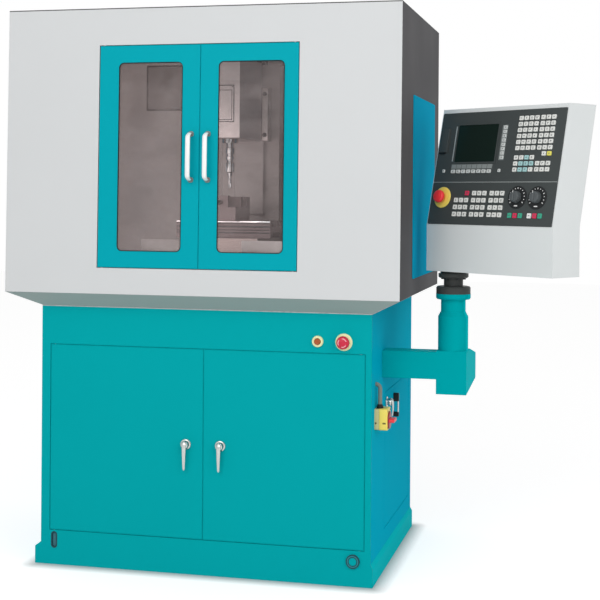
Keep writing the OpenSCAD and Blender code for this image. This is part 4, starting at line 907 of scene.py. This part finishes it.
class MACHINE_OT_side_latch(bpy.types.Operator):
    """Chrome lever and bow pull of the side door"""

    bl_idname = "machine.side_latch"
    bl_label = "Side door latch"

    def execute(self, context):
        hub = joint("side_latch_turn")["pos_m"]
        place = face_frame(hub, (0, 1, 0), (0, 0, 1))
        length = (hub[2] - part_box("side_latch")[0].z) / MM
        lever_latch("side_lever", "side_latch", place, length, "pin_steel")
        self.pull()
        return {"FINISHED"}

    def pull(self):
        """A bow pull: a slim bright bar between two black feet, the upper one longer."""
        side = base_right()
        x, middle, w, h = extent(side, "side_pull")
        top = middle + h / 2
        bottom = middle - h / 2
        out = (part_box("side_pull")[1].x - side.translation.x) / MM
        mesh = bmesh.new()
        pad(mesh, moved(side, x, top - 14), w, 28, 4, 0, out, soft=3)
        pad(mesh, moved(side, x, bottom + 8), w, 16, 4, 0, out, soft=3)
        path = [(x, bottom + 5, out - 3.5), (x, middle, out - 3.2), (x, top - 5, out - 3.5)]
        swept(mesh, side, path, oval(w - 4, 6), slot=1)
        made = piece(mesh, "side_bow_pull", "side_door",
                     ["black_satin_enamel", "satin_chrome"])
        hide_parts("side_pull")


# --- Doors: seals --------------------------------------------------------------


def door_seal(front, node, face, deep, partner, finish_name):
    """A painted edge strip that narrows a door's gap by face at its front and deep behind.

    It rides on the door; partner is the side, -1 or 1, where another door closes, or 0.
    """
    x, y, w, h = extent(front, node)
    rings = []
    for reach, z in ((-0.2, -0.7), (face, -0.7), (deep, -3.4), (-0.2, -3.4)):
        near = min(reach, 1.2) - reach if partner else 0.0
        middle = x + partner * near / 2
        rings.append(ring_round(w + 2 * reach + near, h + 2 * reach, 1.0, z, middle, y, 2))
    mesh = bmesh.new()
    skin(mesh, front, rings + rings[:1], False, False)
    bmesh.ops.remove_doubles(mesh, verts=mesh.verts[:], dist=1e-6)
    piece(mesh, f"seal_{node}", node, [finish_name])


class MACHINE_OT_door_seals(bpy.types.Operator):
    """Edge strips of the hood's and the base's doors"""

    bl_idname = "machine.door_seals"
    bl_label = "Door seals"

    def execute(self, context):
        for side, partner in (("left", 1), ("right", -1)):
            door_seal(hood_front(), f"hood_door_{side}", 1.0, 1.0, partner, "door_stoving_enamel")
            door_seal(base_front(), f"base_door_{side}", 1.7, 2.5, partner, "teal_stoving_enamel")
        door_seal(base_right(), "side_door", 1.7, 2.5, 0, "side_stoving_enamel")
        return {"FINISHED"}


# --- Hood: windows, handles, screws --------------------------------------------

WINDOW_RIM = 4.5  # the doors' frames cover this much of a window sheet's edge, in mm
WINDOW_CORNER = 16.0
LEDGE_SHARE = 0.64  # length of a drip ledge, as a share of its window's width
LOUVRE_AT = 0.56  # place of the louvres, as a share of half the width


class MACHINE_OT_windows(bpy.types.Operator):
    """Black rubber gaskets that hold the window sheets, and the drip ledges behind them"""

    bl_idname = "machine.windows"
    bl_label = "Window gaskets"

    def execute(self, context):
        gasket = context.scene.machine_sizes.gasket_w / MM
        front = hood_front()
        for side in ("left", "right"):
            x, y, w, h = extent(front, f"hood_window_{side}")
            w -= 2 * WINDOW_RIM
            h -= 2 * WINDOW_RIM
            rings = []
            for inset, z in ((0.05, -3.0), (0.05, 0.3), (0.4, 0.9), (gasket * 0.4, 1.2),
                             (gasket * 0.8, 0.8), (gasket, -0.2), (gasket, -3.0)):
                rings.append(ring_round(w - 2 * inset, h - 2 * inset, WINDOW_CORNER - inset, z,
                                        x, y, 8))
            mesh = bmesh.new()
            skin(mesh, front, rings, False, False)
            piece(mesh, f"window_gasket_{side}", f"hood_door_{side}",
                  ["window_rubber"])
            # drip ledge on the inner face of the door, behind the window's lower edge
            mesh = bmesh.new()
            long = w * LEDGE_SHARE + 12
            at = moved(front, x + w / 2 + 12 - long / 2, y - h / 2 + 14)
            pad(mesh, at, long, 48, 3, -15.2, -12.2, soft=1.0)
            piece(mesh, f"drip_ledge_{side}", f"hood_door_{side}",
                  ["brushed_aluminium"])
        return {"FINISHED"}


class MACHINE_OT_bow_handles(bpy.types.Operator):
    """White bow handles whose ends curve down into grey feet; the bent ends of the bar are grey
    too, as painted shade
    """

    bl_idname = "machine.bow_handles"
    bl_label = "Bow handles"

    def execute(self, context):
        w = context.scene.machine_sizes.handle_w / MM
        front = hood_front()
        for side in ("left", "right"):
            node = f"hood_handle_{side}"
            low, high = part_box(node)
            x, middle, _, h = extent(front, node)
            half = h / 2 - 3
            out = (front.inverted() @ Vector((low.x, low.y, (low.z + high.z) / 2))).z / MM - 5.7
            path = [(5, 0.5), (6.5, 5), (9, out * 0.5), (15, out - 3.5), (19, out - 0.8), (24, out)]
            path = [(x, middle - half + up, z) for up, z in path]
            rest = [(x, 2 * middle - y, z) for _, y, z in path[::-1]]
            path += [(x, middle, out + 0.4)] + rest
            mesh = bmesh.new()
            # Faces of the bar near the door take the feet's grey: painted shade on the ends that
            # bend back to the door.
            for face in swept(mesh, front, path, oval(w, 9, 20)):
                if (front.inverted() @ face.calc_center_median()).z / MM < out * 0.72:
                    face.material_index = 1
            for end in (-1, 1):
                foot = moved(front, x, middle + end * (half - 8))
                pad(mesh, foot, w + 1.5, 16, 6, 0, 5, soft=2.0, slot=1)
            made = piece(mesh, f"bow_grip_{side}", f"hood_door_{side}",
                         ["white_gloss_plastic", "foot_grey_plastic"])
            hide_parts(f"hood_handle_{side}")
        return {"FINISHED"}


def pan_screw(mesh, place, d):
    """A pan-head screw with a hexagon socket."""
    r = d / 2
    turned(mesh, place, ((r, 0), (r, 0.8), (r * 0.86, 1.9), (r * 0.5, 2.3)), 20, end=False)
    turned(mesh, place, ((r * 0.5, 2.3), (r * 0.46, 1.0), (0.1, 0.9)), 20, start=False)


class MACHINE_OT_hood_screws(bpy.types.Operator):
    """Screws of the side covers and of the hood's rear wall"""

    bl_idname = "machine.hood_screws"
    bl_label = "Hood screws"

    def execute(self, context):
        d = context.scene.machine_sizes.screw_d / MM
        low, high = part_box("hood_side_covers")
        mesh = bmesh.new()
        inset = 14
        for x, sign in ((low.x, -1), (high.x, 1)):
            side = face_frame((x, 0, 0), (0, sign, 0), (0, 0, 1))
            for y in (low.y / MM + inset, (low.y + high.y) / 2 / MM, high.y / MM - inset):
                for z in (low.z / MM + inset, high.z / MM - inset):
                    pan_screw(mesh, moved(side, sign * y, z, -2.35), d)
        piece(mesh, "cover_screws", "cabinet", ["black_oxide_steel"])
        low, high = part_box("hood_rear_panel")
        back = face_frame((0, high.y, 0), (-1, 0, 0), (0, 0, 1))
        mesh = bmesh.new()
        for k in range(5):
            x = (high.x / MM - 22) * (k - 2) / 2
            for z in (low.z / MM + 16, high.z / MM - 16):
                pan_screw(mesh, moved(back, x, z, -1.9), d)
        piece(mesh, "rear_screws", "cabinet", ["black_oxide_steel"])
        return {"FINISHED"}


class MACHINE_OT_filter_mats(bpy.types.Operator):
    """Fleece filter mats in frames behind the louvres of the rear walls"""

    bl_idname = "machine.filter_mats"
    bl_label = "Filter mats"

    def execute(self, context):
        for node, w, gaps, top in (("hood_rear_panel", 180, 5, 120),
                                   ("base_rear_panel", 150, 7, 160)):
            low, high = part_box(node)
            x = LOUVRE_AT * high.x / MM
            inner = from_front(low.y)
            h = 24.0 * gaps + 36
            z = high.z / MM - top - 12.0 * gaps
            mesh = bmesh.new()
            for side in (-1, 1):
                at = moved(inner, side * x, z, 0.2)
                pad(mesh, at, w + 30, h, 4, 0, 5, 2.0)
                pad(mesh, at, w + 44, h + 14, 5, 0, 1.5, 0.6, slot=1)
            piece(mesh, f"filter_{node}", "cabinet",
                  ["filter_fleece", "filter_frame_coat"])
        return {"FINISHED"}


# --- Pendant -------------------------------------------------------------------

FACE = 2.0  # the control panels' face stands this far out of the case's slope, in mm
STOP_AT = (48.0, 84.0)  # the stop button's place on the control panels, in mm
KEY_COLUMNS = (319.0, 338.7, 358.4, 378.0, 401.0, 420.5, 440.0)
KEY_TOP = 328.0  # height of the first row of typing keys
KEY_LOW = 170.0  # height of their last row
KEY_PITCH = 18.4
KEY_W = 14.8
KEY_H = 13.0
SOFT_PITCH_UP = 13.4  # of the soft keys beside the screen
SOFT_PITCH = 20.6  # of the soft keys under the screen
MACHINE_KEYS_AT = (106, 98)  # the first key of the lower panel
MACHINE_GROUP = 69.5  # from one group of its keys to the next
MACHINE_PITCH = (20.3, 22)
MACHINE_KEY = (15, 14)
FOOT_KEY = (31, 14, 15)  # height of the lowest row, and the width and height of its keys
KEY_MARKS = (  # the plain marks on the keys: middle x and y, width, height as shares of a key
    ((0, 0, 0.44, 0.14),),
    ((0, 0, 0.14, 0.44),),
    ((-0.1, 0, 0.12, 0.4), (0.1, 0.1, 0.3, 0.12)),
    ((0, 0.12, 0.4, 0.12), (0, -0.14, 0.4, 0.12)),
    ((0, 0, 0.2, 0.24),),
    ((-0.14, 0, 0.12, 0.4), (0.14, 0, 0.12, 0.4)),
)


def key_cap(mesh, place, x, y, w, h, mark):
    """One key: round corners, softened edge, dished top and a small plain mark."""
    sizes = bpy.context.scene.machine_sizes
    top = FACE + sizes.key_rise / MM
    at = moved(place, x, y)
    pad(mesh, at, w, h, sizes.key_corner / MM, FACE - 0.5, top, soft=0.9, dish=0.35)
    for dx, dy, mw, mh in KEY_MARKS[mark % len(KEY_MARKS)]:
        corners = [(w * (dx + sx * mw / 2), h * (dy + sy * mh / 2), top - 0.2)
                   for sx, sy in ((-1, -1), (1, -1), (1, 1), (-1, 1))]
        flat(mesh, at, corners, 1)


class MACHINE_OT_keys(bpy.types.Operator):
    """Keys of the two control panels"""

    bl_idname = "machine.keys"
    bl_label = "Keys"

    def execute(self, context):
        made = self.group("plain_keys", self.typing_keys() + self.machine_keys(),
                          "grey_key_plastic")
        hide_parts("pendant_keys")
        soft = [(262.5, 302 - SOFT_PITCH_UP * k, 13, 10.6) for k in range(8)]
        soft += [(76 + SOFT_PITCH * k, 166.5, 15.5, 11.0) for k in range(8)]
        soft += [(37, 168, 9, 10), (260, 168, 9, 10)]
        self.group("soft_keys", soft, "soft_key_plastic")
        teal = [self.low_key(c, row) for c, row in ((2, 2), (1, 1), (2, 1), (3, 1), (1, 0), (2, 0))]
        self.group("teal_keys", teal, "teal_key_plastic")
        self.group("yellow_key", [self.top_key(6, 6)], "yellow_key_plastic")
        self.group("green_keys", [(x, *FOOT_KEY) for x in (325, 364.2, 437.2)],
                   "green_key_plastic")
        red = [(344.6, *FOOT_KEY), (417.6, *FOOT_KEY), self.machine_key(0, 2, 0)]
        self.group("red_keys", red, "red_key_plastic")
        self.group("white_key", [(398, *FOOT_KEY)], "white_key_plastic")
        return {"FINISHED"}

    def group(self, name, keys, finish_name):
        """One piece of like keys, each given by its middle, width and height."""
        place = panel_front()
        mesh = bmesh.new()
        for i, key in enumerate(keys):
            key_cap(mesh, place, *key, (i * 5) // 3)
        return piece(mesh, name, "pendant", [finish_name, "mark_ink"])

    def top_key(self, column, row):
        """A typing key, counted from the first row down."""
        return KEY_COLUMNS[column], KEY_TOP - KEY_PITCH * row, KEY_W, KEY_H

    def low_key(self, column, row):
        """A typing key, counted from the last row up."""
        return KEY_COLUMNS[column], KEY_LOW + KEY_PITCH * row, KEY_W, KEY_H

    def typing_keys(self):
        """Letter and number keys, without those of another colour."""
        keys = [self.top_key(c, row) for row in range(6) for c in range(7)]
        keys.append(self.top_key(5, 6))
        for row, columns in ((2, (0, 1, 3)), (1, (0, 4, 5, 6)), (0, (0, 3, 4, 5, 6))):
            keys += [self.low_key(c, row) for c in columns]
        return keys

    def machine_key(self, group, column, row):
        """A key of the lower panel."""
        x = MACHINE_KEYS_AT[0] + MACHINE_GROUP * group + MACHINE_PITCH[0] * column
        return x, MACHINE_KEYS_AT[1] - MACHINE_PITCH[1] * row, *MACHINE_KEY

    def machine_keys(self):
        """Three groups of three columns on the lower panel."""
        return [self.machine_key(g, c, row)
                for g in range(3) for c in range(3) for row in range(4) if row > 0 or g > 0]


class MACHINE_OT_control_panels(bpy.types.Operator):
    """Light strips, legend fields, the line between the panels and the card flap"""

    bl_idname = "machine.control_panels"
    bl_label = "Control panels"

    def execute(self, context):
        place = panel_front()
        mesh = bmesh.new()
        # light strip at the screen's left, legend fields under it and beside the soft keys
        pad(mesh, moved(place, 66.5, 255), 6.5, 112, 1, FACE, FACE + 0.5, 0.2)
        pad(mesh, moved(place, 148, 182), 166, 14, 1, FACE, FACE + 0.4, 0.2, slot=1)
        pad(mesh, moved(place, 260, 255), 20, 109, 1.5, FACE, FACE + 0.4, 0.2, slot=1)
        for k in range(9):
            at = moved(place, 65.5 + SOFT_PITCH * k, 182)
            pad(mesh, at, 1.2, 13, 0.4, FACE, FACE + 0.7, 0.2, slot=2)
        piece(mesh, "legend_strips", "pendant",
              ["light_foil", "legend_foil", "printed_foil"])
        # light edge between the two panels
        mesh = bmesh.new()
        pad(mesh, moved(place, 241.5, 132.7), 480, 1.6, 0.6, FACE - 3, FACE + 0.3, 0.2)
        piece(mesh, "panel_split", "pendant", ["light_foil"])
        # flap over the memory card slot, with a dark strip at its foot that paints the shade of a
        # finger recess
        mesh = bmesh.new()
        pad(mesh, moved(place, 23, 266), 30, 76, 2, FACE, FACE + 4.6, 1.2)
        pad(mesh, moved(place, 19, 225.5), 26, 4.0, 1.5, FACE, FACE + 5, 0.8, slot=1)
        piece(mesh, "card_flap", "pendant", ["printed_foil", "window_rubber"])
        return {"FINISHED"}


class MACHINE_OT_dials(bpy.types.Operator):
    """The two override dials"""

    bl_idname = "machine.dials"
    bl_label = "Override dials"

    def execute(self, context):
        tick = context.scene.machine_sizes.tick_l / MM
        for node, at in zip(("feed_dial", "speed_dial"), DIALS):
            place = moved(panel_front(), *at, FACE)
            self.plate(node, place, tick)
            self.knob(node, place)
        return {"FINISHED"}

    def plate(self, node, place, tick):
        """A black plate with thirteen light ticks, every third one longer."""
        mesh = bmesh.new()
        turned(mesh, place, ((34.5, 0), (34.5, 1.9), (33.6, 2.6), (0.5, 2.6)), 56)
        for k in range(13):
            a = math.radians(215 - 250 * k / 12)
            at = moved(place, *polar(27.5, a)) @ Matrix.Rotation(a, 4, "Z")
            long = tick * (1.25 if k % 3 == 0 else 0.8)
            pad(mesh, at, long, 2.2, 0.7, 2.4, 3.0, 0.2, slot=1)
        pad(mesh, moved(place, 0, -26), 13, 3.2, 1.2, 2.4, 3.0, 0.2, slot=1)
        piece(mesh, f"{node}_plate", "pendant",
              ["dial_black_plastic", "white_key_plastic"])

    def knob(self, node, place):
        """A fluted grey knob with a pointer ridge."""
        steps = 72
        rings = []
        for z, r in ((3.0, 17.5), (4.2, 18.0), (14.0, 17.0), (18.5, 16.4), (20.2, 14.8)):
            ring = []
            for k in range(steps):
                flute = 0.972 if k % 4 < 2 and z < 19 else 1.0
                ring.append((*polar(r * flute, 2 * math.pi * k / steps), z))
            rings.append(ring)
        mesh = bmesh.new()
        skin(mesh, place, rings)
        pad(mesh, moved(place, 0, 0.5), 5.5, 29, 2.2, 19.5, 24.5, 1.4)
        pad(mesh, moved(place, 0, 12.3), 1.6, 4, 0.6, 24.0, 24.9, 0.2, slot=1)
        made = piece(mesh, f"{node}_knob", node,
                     ["dial_grey_plastic", "white_key_plastic"])
        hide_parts(node)


class MACHINE_OT_pendant_stop(bpy.types.Operator):
    """Emergency stop of the pendant"""

    bl_idname = "machine.pendant_stop"
    bl_label = "Pendant stop"

    def execute(self, context):
        place = moved(panel_front(), *STOP_AT, FACE)
        ring = collar("pendant_shroud", "pendant", place,
                      ((33, 0), (33, 1.8), (32, 3.2), (30, 4.0), (17, 4.2), (9, 4.2),
                       (7.3, 3.6), (7.3, -28)), "yellow_gloss_plastic")
        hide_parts("pendant_stop_ring")
        stop_button("pendant_mushroom", "pendant_stop_button", place, "red_gloss_plastic", False)
        return {"FINISHED"}


class MACHINE_OT_swivel(bpy.types.Operator):
    """Clamp bolts of the pendant's swivel"""

    bl_idname = "machine.swivel"
    bl_label = "Swivel bolts"

    def execute(self, context):
        low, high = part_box("swivel_head")
        centre = (low + high) / 2
        mesh = bmesh.new()
        for k in range(6):
            x, y = polar((high.x - low.x) * 0.36, 2 * math.pi * k / 6, centre.x, centre.y)
            place = face_frame((x, y, high.z - 22 * MM), (1, 0, 0), (0, -1, 0))
            turned(mesh, place, ((5, -1), (5, 4), (4.2, 5), (0.4, 5)), 6)
        piece(mesh, "swivel_bolts", "pendant", ["black_oxide_steel"])
        return {"FINISHED"}


# --- Inside the hood -----------------------------------------------------------

PLATE_W = 66.0  # the blank plate on the head's cover, in mm
PLATE_H = 126.0
PLATE_UP = 48.0  # from the cover's foot to the plate
PLATE_TOP = 1.4  # height of the plate's lines over the cover
PLATE_HEAD = 9.0  # the inner line leaves this much room at the plate's top
STRIP_H = 186.0  # height of the carriage's light faces, in mm
CUTTER_R = 5.0


class MACHINE_OT_mill_details(bpy.types.Operator):
    """Blank plate on the head's cover, carriage faces and screws, tool holder and cutter"""

    bl_idname = "machine.mill_details"
    bl_label = "Mill details"

    def execute(self, context):
        self.cover_plate()
        self.carriage_screws()
        self.tool()
        return {"FINISHED"}

    def cover_plate(self):
        """A blank plate with two thin dark border lines and two pins."""
        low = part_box("head_cover")[0]
        at = moved(from_front(low.y), 0, low.z / MM + PLATE_UP + PLATE_H / 2)
        mesh = bmesh.new()
        pad(mesh, at, PLATE_W, PLATE_H, 3, -0.5, 1.2, 0.5)
        for outer, inner, head in ((2.0, 4.6, 0.0), (9.0, 11.0, PLATE_HEAD)):
            rings = [ring_round(PLATE_W - 2 * inset, PLATE_H - 2 * inset - head, r, PLATE_TOP)
                     for inset, r in ((outer, 2), (inner, 1.5))]
            skin(mesh, moved(at, 0, -head / 2), rings, False, False, 1)
        for dx in (8 - PLATE_W / 2, PLATE_W / 2 - 8):
            turned(mesh, moved(at, dx, PLATE_H / 2 - 8), ((2, 1), (2, 1.8), (0.3, 2.0)), 12, 1)
        piece(mesh, "head_plate", "mill_head",
              ["head_cover_coat", "window_rubber"])

    def carriage_screws(self):
        """Faces on both sides of the head in a lightened aluminium, painted light over the head's
        shade, with cap screws at their ends.
        """
        low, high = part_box("mill_head")
        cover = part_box("head_cover")[1]
        place = from_front(high.y - 40 * MM)
        foot = low.z / MM
        x = (high.x + cover.x) / 2 / MM
        screws = bmesh.new()
        faces = bmesh.new()
        for side in (-1, 1):
            for z in (foot + 22, foot + STRIP_H - 22):
                at = moved(place, side * x, z)
                turned(screws, at, ((7.5, -1), (7.5, 6), (6.8, 7), (4, 7)), 24, end=False)
                turned(screws, at, ((4, 7), (3.8, 2), (0.2, 2)), 6, start=False)
            pad(faces, moved(place, side * x, foot + STRIP_H / 2), (high.x - cover.x) / MM - 6,
                180, 2, -0.5, 0.6, soft=0.4)
        piece(screws, "carriage_screws", "mill_head", ["black_oxide_steel"])
        piece(faces, "carriage_faces", "mill_head", ["satin_aluminium"])

    def tool(self):
        """A collet chuck with its nut, steps and a four-flute cutter."""
        low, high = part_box("spindle")
        axis = joint("spindle_spin")["pos_m"]
        up = face_frame((axis[0], axis[1], low.z), (1, 0, 0), (0, 1, 0))
        nose = (high.z - low.z) / MM - 118
        mesh = bmesh.new()
        # cutter with twisted flutes under a plain shank
        rings = []
        for k in range(25):
            z = 42 * k / 24
            ring = []
            for i in range(32):
                a = 2 * math.pi * i / 32
                depth = 0.34 * max(0.0, math.cos(4 * (a - 0.055 * z))) if z < 32 else 0.0
                ring.append((*polar(CUTTER_R * (1.0 - depth), a), z))
            rings.append(ring)
        skin(mesh, up, rings)
        turned(mesh, up, ((7.6, 40), (8, 42), (8, 50), (13, 52), (14, 54), (14, 60)), 40)
        for k in range(12):
            a = 2 * math.pi * k / 12
            at = moved(up, *polar(13.6, a), 57) @ Matrix.Rotation(a, 4, "Z")
            pad(mesh, at, 1.6, 3.4, 0.5, -4, 24, 0.4)
        turned(mesh, up, ((13.4, 58), (13.4, 82), (11, 86), (11, 92), (14, 93.5), (14, 104.5),
                          (11, 106), (11, 112), (15, 113.5), (15, 132), (12, 134), (12, nose - 16),
                          (26, nose - 15), (27, nose - 14), (27, nose - 1), (26, nose),
                          (23, nose), (23, nose + 40), (0.5, nose + 40)), 40)
        made = piece(mesh, "tool_and_nose", "spindle", ["tool_steel"])
        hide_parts("spindle")


class MACHINE_OT_table_details(bpy.types.Operator):
    """The polished strip along the front of the table, and dark strips that paint the shade of its
    stop slots
    """

    bl_idname = "machine.table_details"
    bl_label = "Table strips"

    def execute(self, context):
        low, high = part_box("table")
        place = from_front(low.y)
        top = high.z / MM
        w = (high.x - low.x) / MM
        mesh = bmesh.new()
        pad(mesh, moved(place, 0, top - 3), w - 2, 4, 1, -0.5, 0.8, 0.3)
        piece(mesh, "table_edge", "table", ["bright_chrome"])
        mesh = bmesh.new()
        for down, tall in ((8.5, 2.5), (19.0, 6.0), (30.0, 3.5), (39.0, 4.5)):
            if top - low.z / MM > down + tall:
                pad(mesh, moved(place, 0, top - down), w - 4, tall, 1, -0.5, 0.5, 0.2)
        piece(mesh, "table_stop_slots", "table", ["black_oxide_steel"])
        return {"FINISHED"}


# --- Stage ---------------------------------------------------------------------

FLOOR_REACH = 14.0  # from the floor's middle to its edges, in metres
PAPER = "#F2F2F2"
PAPER_SEEN = "#D2D2D2"  # the paper under its lift, as the camera sees it; where the lift is low by the foot it shows as painted shadow
PAPER_LIFT = 0.62
PAINTED_SHADOW_REACH = 0.055  # how far the painted contact shadow beside the foot reaches, in metres
DAYLIGHT = 0.55
KEY_WATTS = 90
FILL_WATTS = 46
HOOD_WATTS = 2.1
CAMERA_PLACE = (1.2555, -4.322, 1.1827)
CAMERA_TURN = 13.5  # how far the camera looks to the left of straight ahead, in degrees
CAMERA_ROLL = 0.4
CAMERA_LENS = 79.6
CAMERA_SHIFT = (-0.0012, -0.1752)


def seen_directly(tree):
    """1 for rays from the camera, from gloss and through glass, 0 for rays of diffuse light."""
    ray = add(tree, "ShaderNodeLightPath")
    seen = ray.outputs["Is Camera Ray"]
    for kind in ("Is Glossy Ray", "Is Transmission Ray"):
        most = add(tree, "ShaderNodeMath", {"operation": "MAXIMUM"},
                   {0: seen, 1: ray.outputs[kind]})
        seen = most.outputs[0]
    return seen


def seen_and_lit(tree, out, lit, seen):
    """One look for the camera and in reflections, another for the light that bounces off."""
    mix = add(tree, "ShaderNodeMixShader", {},
              {0: seen_directly(tree), 1: lit.outputs[0], 2: seen.outputs[0]})
    tree.links.new(mix.outputs[0], out.inputs["Surface"])


def seamless_paper():
    """Matt seamless paper; a lift brightens it for the camera and in reflections only.

    The lift is left out at the machine's foot and grows over the first hand's breadth, so the
    darker paper there paints a soft contact shadow over the real shade.
    """
    material, tree, out, place = blank("seamless_paper")
    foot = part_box("base_plinth")[1]
    away = place
    for operation, size in (("ABSOLUTE", (0.0, 0.0, 0.0)), ("SUBTRACT", (foot.x, foot.y, 0.0)),
                            ("MAXIMUM", (0.0, 0.0, 0.0)), ("LENGTH", (0.0, 0.0, 0.0))):
        step = add(tree, "ShaderNodeVectorMath", {"operation": operation, 1: size}, {0: away})
        away = step.outputs["Value" if operation == "LENGTH" else "Vector"]
    # No lift next to the foot: the darker paper there is a painted contact shadow that fades out
    # over the reach.
    rise = add(tree, "ShaderNodeMapRange", {1: 0.0, 2: PAINTED_SHADOW_REACH, 3: 0.0, 4: PAPER_LIFT},
               {0: away})
    tint, _ = shades(tree, place, linear(PAPER), 0.004, 900)
    paper = add(tree, "ShaderNodeBsdfDiffuse", {}, {"Color": tint})
    glow = add(tree, "ShaderNodeEmission", {}, {"Strength": rise.outputs[0]})
    shaded = add(tree, "ShaderNodeBsdfDiffuse", {"Color": linear(PAPER_SEEN)})
    lifted = add(tree, "ShaderNodeAddShader", {}, {0: shaded.outputs[0], 1: glow.outputs[0]})
    seen_and_lit(tree, out, paper, lifted)
    return material


def world_light(strength):
    """Even daylight from all round; the camera and reflections see plain white."""
    world = bpy.data.worlds.new("studio")
    world.use_nodes = True
    tree = world.node_tree
    tree.nodes.clear()
    out = add(tree, "ShaderNodeOutputWorld")
    soft, white = (add(tree, "ShaderNodeBackground", {"Color": linear("#FFFFFF"), "Strength": s})
                   for s in (strength, 1.0))
    seen_and_lit(tree, out, soft, white)
    bpy.context.scene.world = world


def soft_lamp(name, place, target, size, watts, hex_colour="#FFFFFF"):
    """A rectangular lamp that looks at a point."""
    data = bpy.data.lights.new(name, "AREA")
    data.shape = "RECTANGLE"
    data.size, data.size_y = size
    data.energy = watts
    data.color = linear(hex_colour)[:3]
    lamp = bpy.data.objects.new(name, data)
    lamp.location = place
    lamp.rotation_euler = (Vector(target) - Vector(place)).to_track_quat("-Z", "Y").to_euler()
    bpy.context.scene.collection.objects.link(lamp)


class MACHINE_OT_stage(bpy.types.Operator):
    """Seamless paper, soft lamps, daylight and the camera"""

    bl_idname = "machine.stage"
    bl_label = "Stage"

    def execute(self, context):
        scene = context.scene
        scene.view_settings.view_transform = "Standard"
        self.floor(scene)
        world_light(DAYLIGHT)
        soft_lamp("key", (-0.2, -4.9, 3.3), (0, 0, 1.0), (3.4, 3.2), KEY_WATTS)
        soft_lamp("fill", (3.6, -3.2, 2.4), (0.3, 0, 1.0), (3.0, 3.0), FILL_WATTS)
        low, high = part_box("hood_front_frame")
        z = (low.z + high.z) / 2 - 0.22
        soft_lamp("hood_lamp", (-0.2, low.y + 0.06, z), (-0.2, 0.3, z), (0.6, 0.5), HOOD_WATTS,
                  "#FFEDEB")
        self.camera(scene)
        return {"FINISHED"}

    def floor(self, scene):
        """One flat sheet of paper."""
        mesh = bmesh.new()
        corners = ((-1, -1), (1, -1), (1, 1), (-1, 1))
        mesh.faces.new([mesh.verts.new((x * FLOOR_REACH, y * FLOOR_REACH, 0)) for x, y in corners])
        data = bpy.data.meshes.new("floor")
        mesh.to_mesh(data)
        mesh.free()
        data.materials.append(seamless_paper())
        floor = bpy.data.objects.new("floor", data)
        scene.collection.objects.link(floor)

    def camera(self, scene):
        """A level camera at chest height, in front of the machine and to its right."""
        data = bpy.data.cameras.new("camera")
        data.lens = CAMERA_LENS
        data.sensor_width = 36.0
        data.shift_x, data.shift_y = CAMERA_SHIFT
        camera = bpy.data.objects.new("camera", data)
        turn = Matrix.Rotation(math.radians(CAMERA_TURN), 4, "Z")
        level = Matrix.Rotation(math.pi / 2, 4, "X")
        roll = Matrix.Rotation(math.radians(CAMERA_ROLL), 4, "Z")
        camera.matrix_world = Matrix.Translation(CAMERA_PLACE) @ turn @ level @ roll
        scene.collection.objects.link(camera)
        scene.camera = camera


# --- Panel and registration ----------------------------------------------------

STEPS = (
    MACHINE_OT_stage,
    MACHINE_OT_finishes,
    MACHINE_OT_levers,
    MACHINE_OT_sockets,
    MACHINE_OT_push_buttons,
    MACHINE_OT_switch_station,
    MACHINE_OT_side_latch,
    MACHINE_OT_door_seals,
    MACHINE_OT_windows,
    MACHINE_OT_bow_handles,
    MACHINE_OT_hood_screws,
    MACHINE_OT_filter_mats,
    MACHINE_OT_keys,
    MACHINE_OT_control_panels,
    MACHINE_OT_dials,
    MACHINE_OT_pendant_stop,
    MACHINE_OT_swivel,
    MACHINE_OT_mill_details,
    MACHINE_OT_table_details,
)


class MACHINE_PT_sidebar(bpy.types.Panel):
    """Steps, sizes and colours of the machine's dressing"""

    bl_idname = "MACHINE_PT_sidebar"
    bl_label = "Milling machine"
    bl_space_type = "VIEW_3D"
    bl_region_type = "UI"
    bl_category = "Machine"

    def draw(self, context):
        layout = self.layout
        for step in STEPS:
            layout.operator(step.bl_idname)
        for group in (context.scene.machine_sizes, context.scene.machine_colours):
            box = layout.box()
            for key in group.__annotations__:
                box.prop(group, key)


CLASSES = (MachineColours, MachineSizes, *STEPS, MACHINE_PT_sidebar)


def register():
    """Registers every class and hangs the two property groups on the scene."""
    for cls in CLASSES:
        bpy.utils.register_class(cls)
    bpy.types.Scene.machine_colours = bpy.props.PointerProperty(type=MachineColours)
    bpy.types.Scene.machine_sizes = bpy.props.PointerProperty(type=MachineSizes)


def unregister():
    """Takes the property groups off the scene and unregisters every class."""
    del bpy.types.Scene.machine_sizes
    del bpy.types.Scene.machine_colours
    for cls in reversed(CLASSES):
        bpy.utils.unregister_class(cls)


def main():
    """Dresses the frame."""
    register()
    for step in STEPS:
        category, name = step.bl_idname.split(".")
        getattr(getattr(bpy.ops, category), name)()


if __name__ == "__main__":
    main()
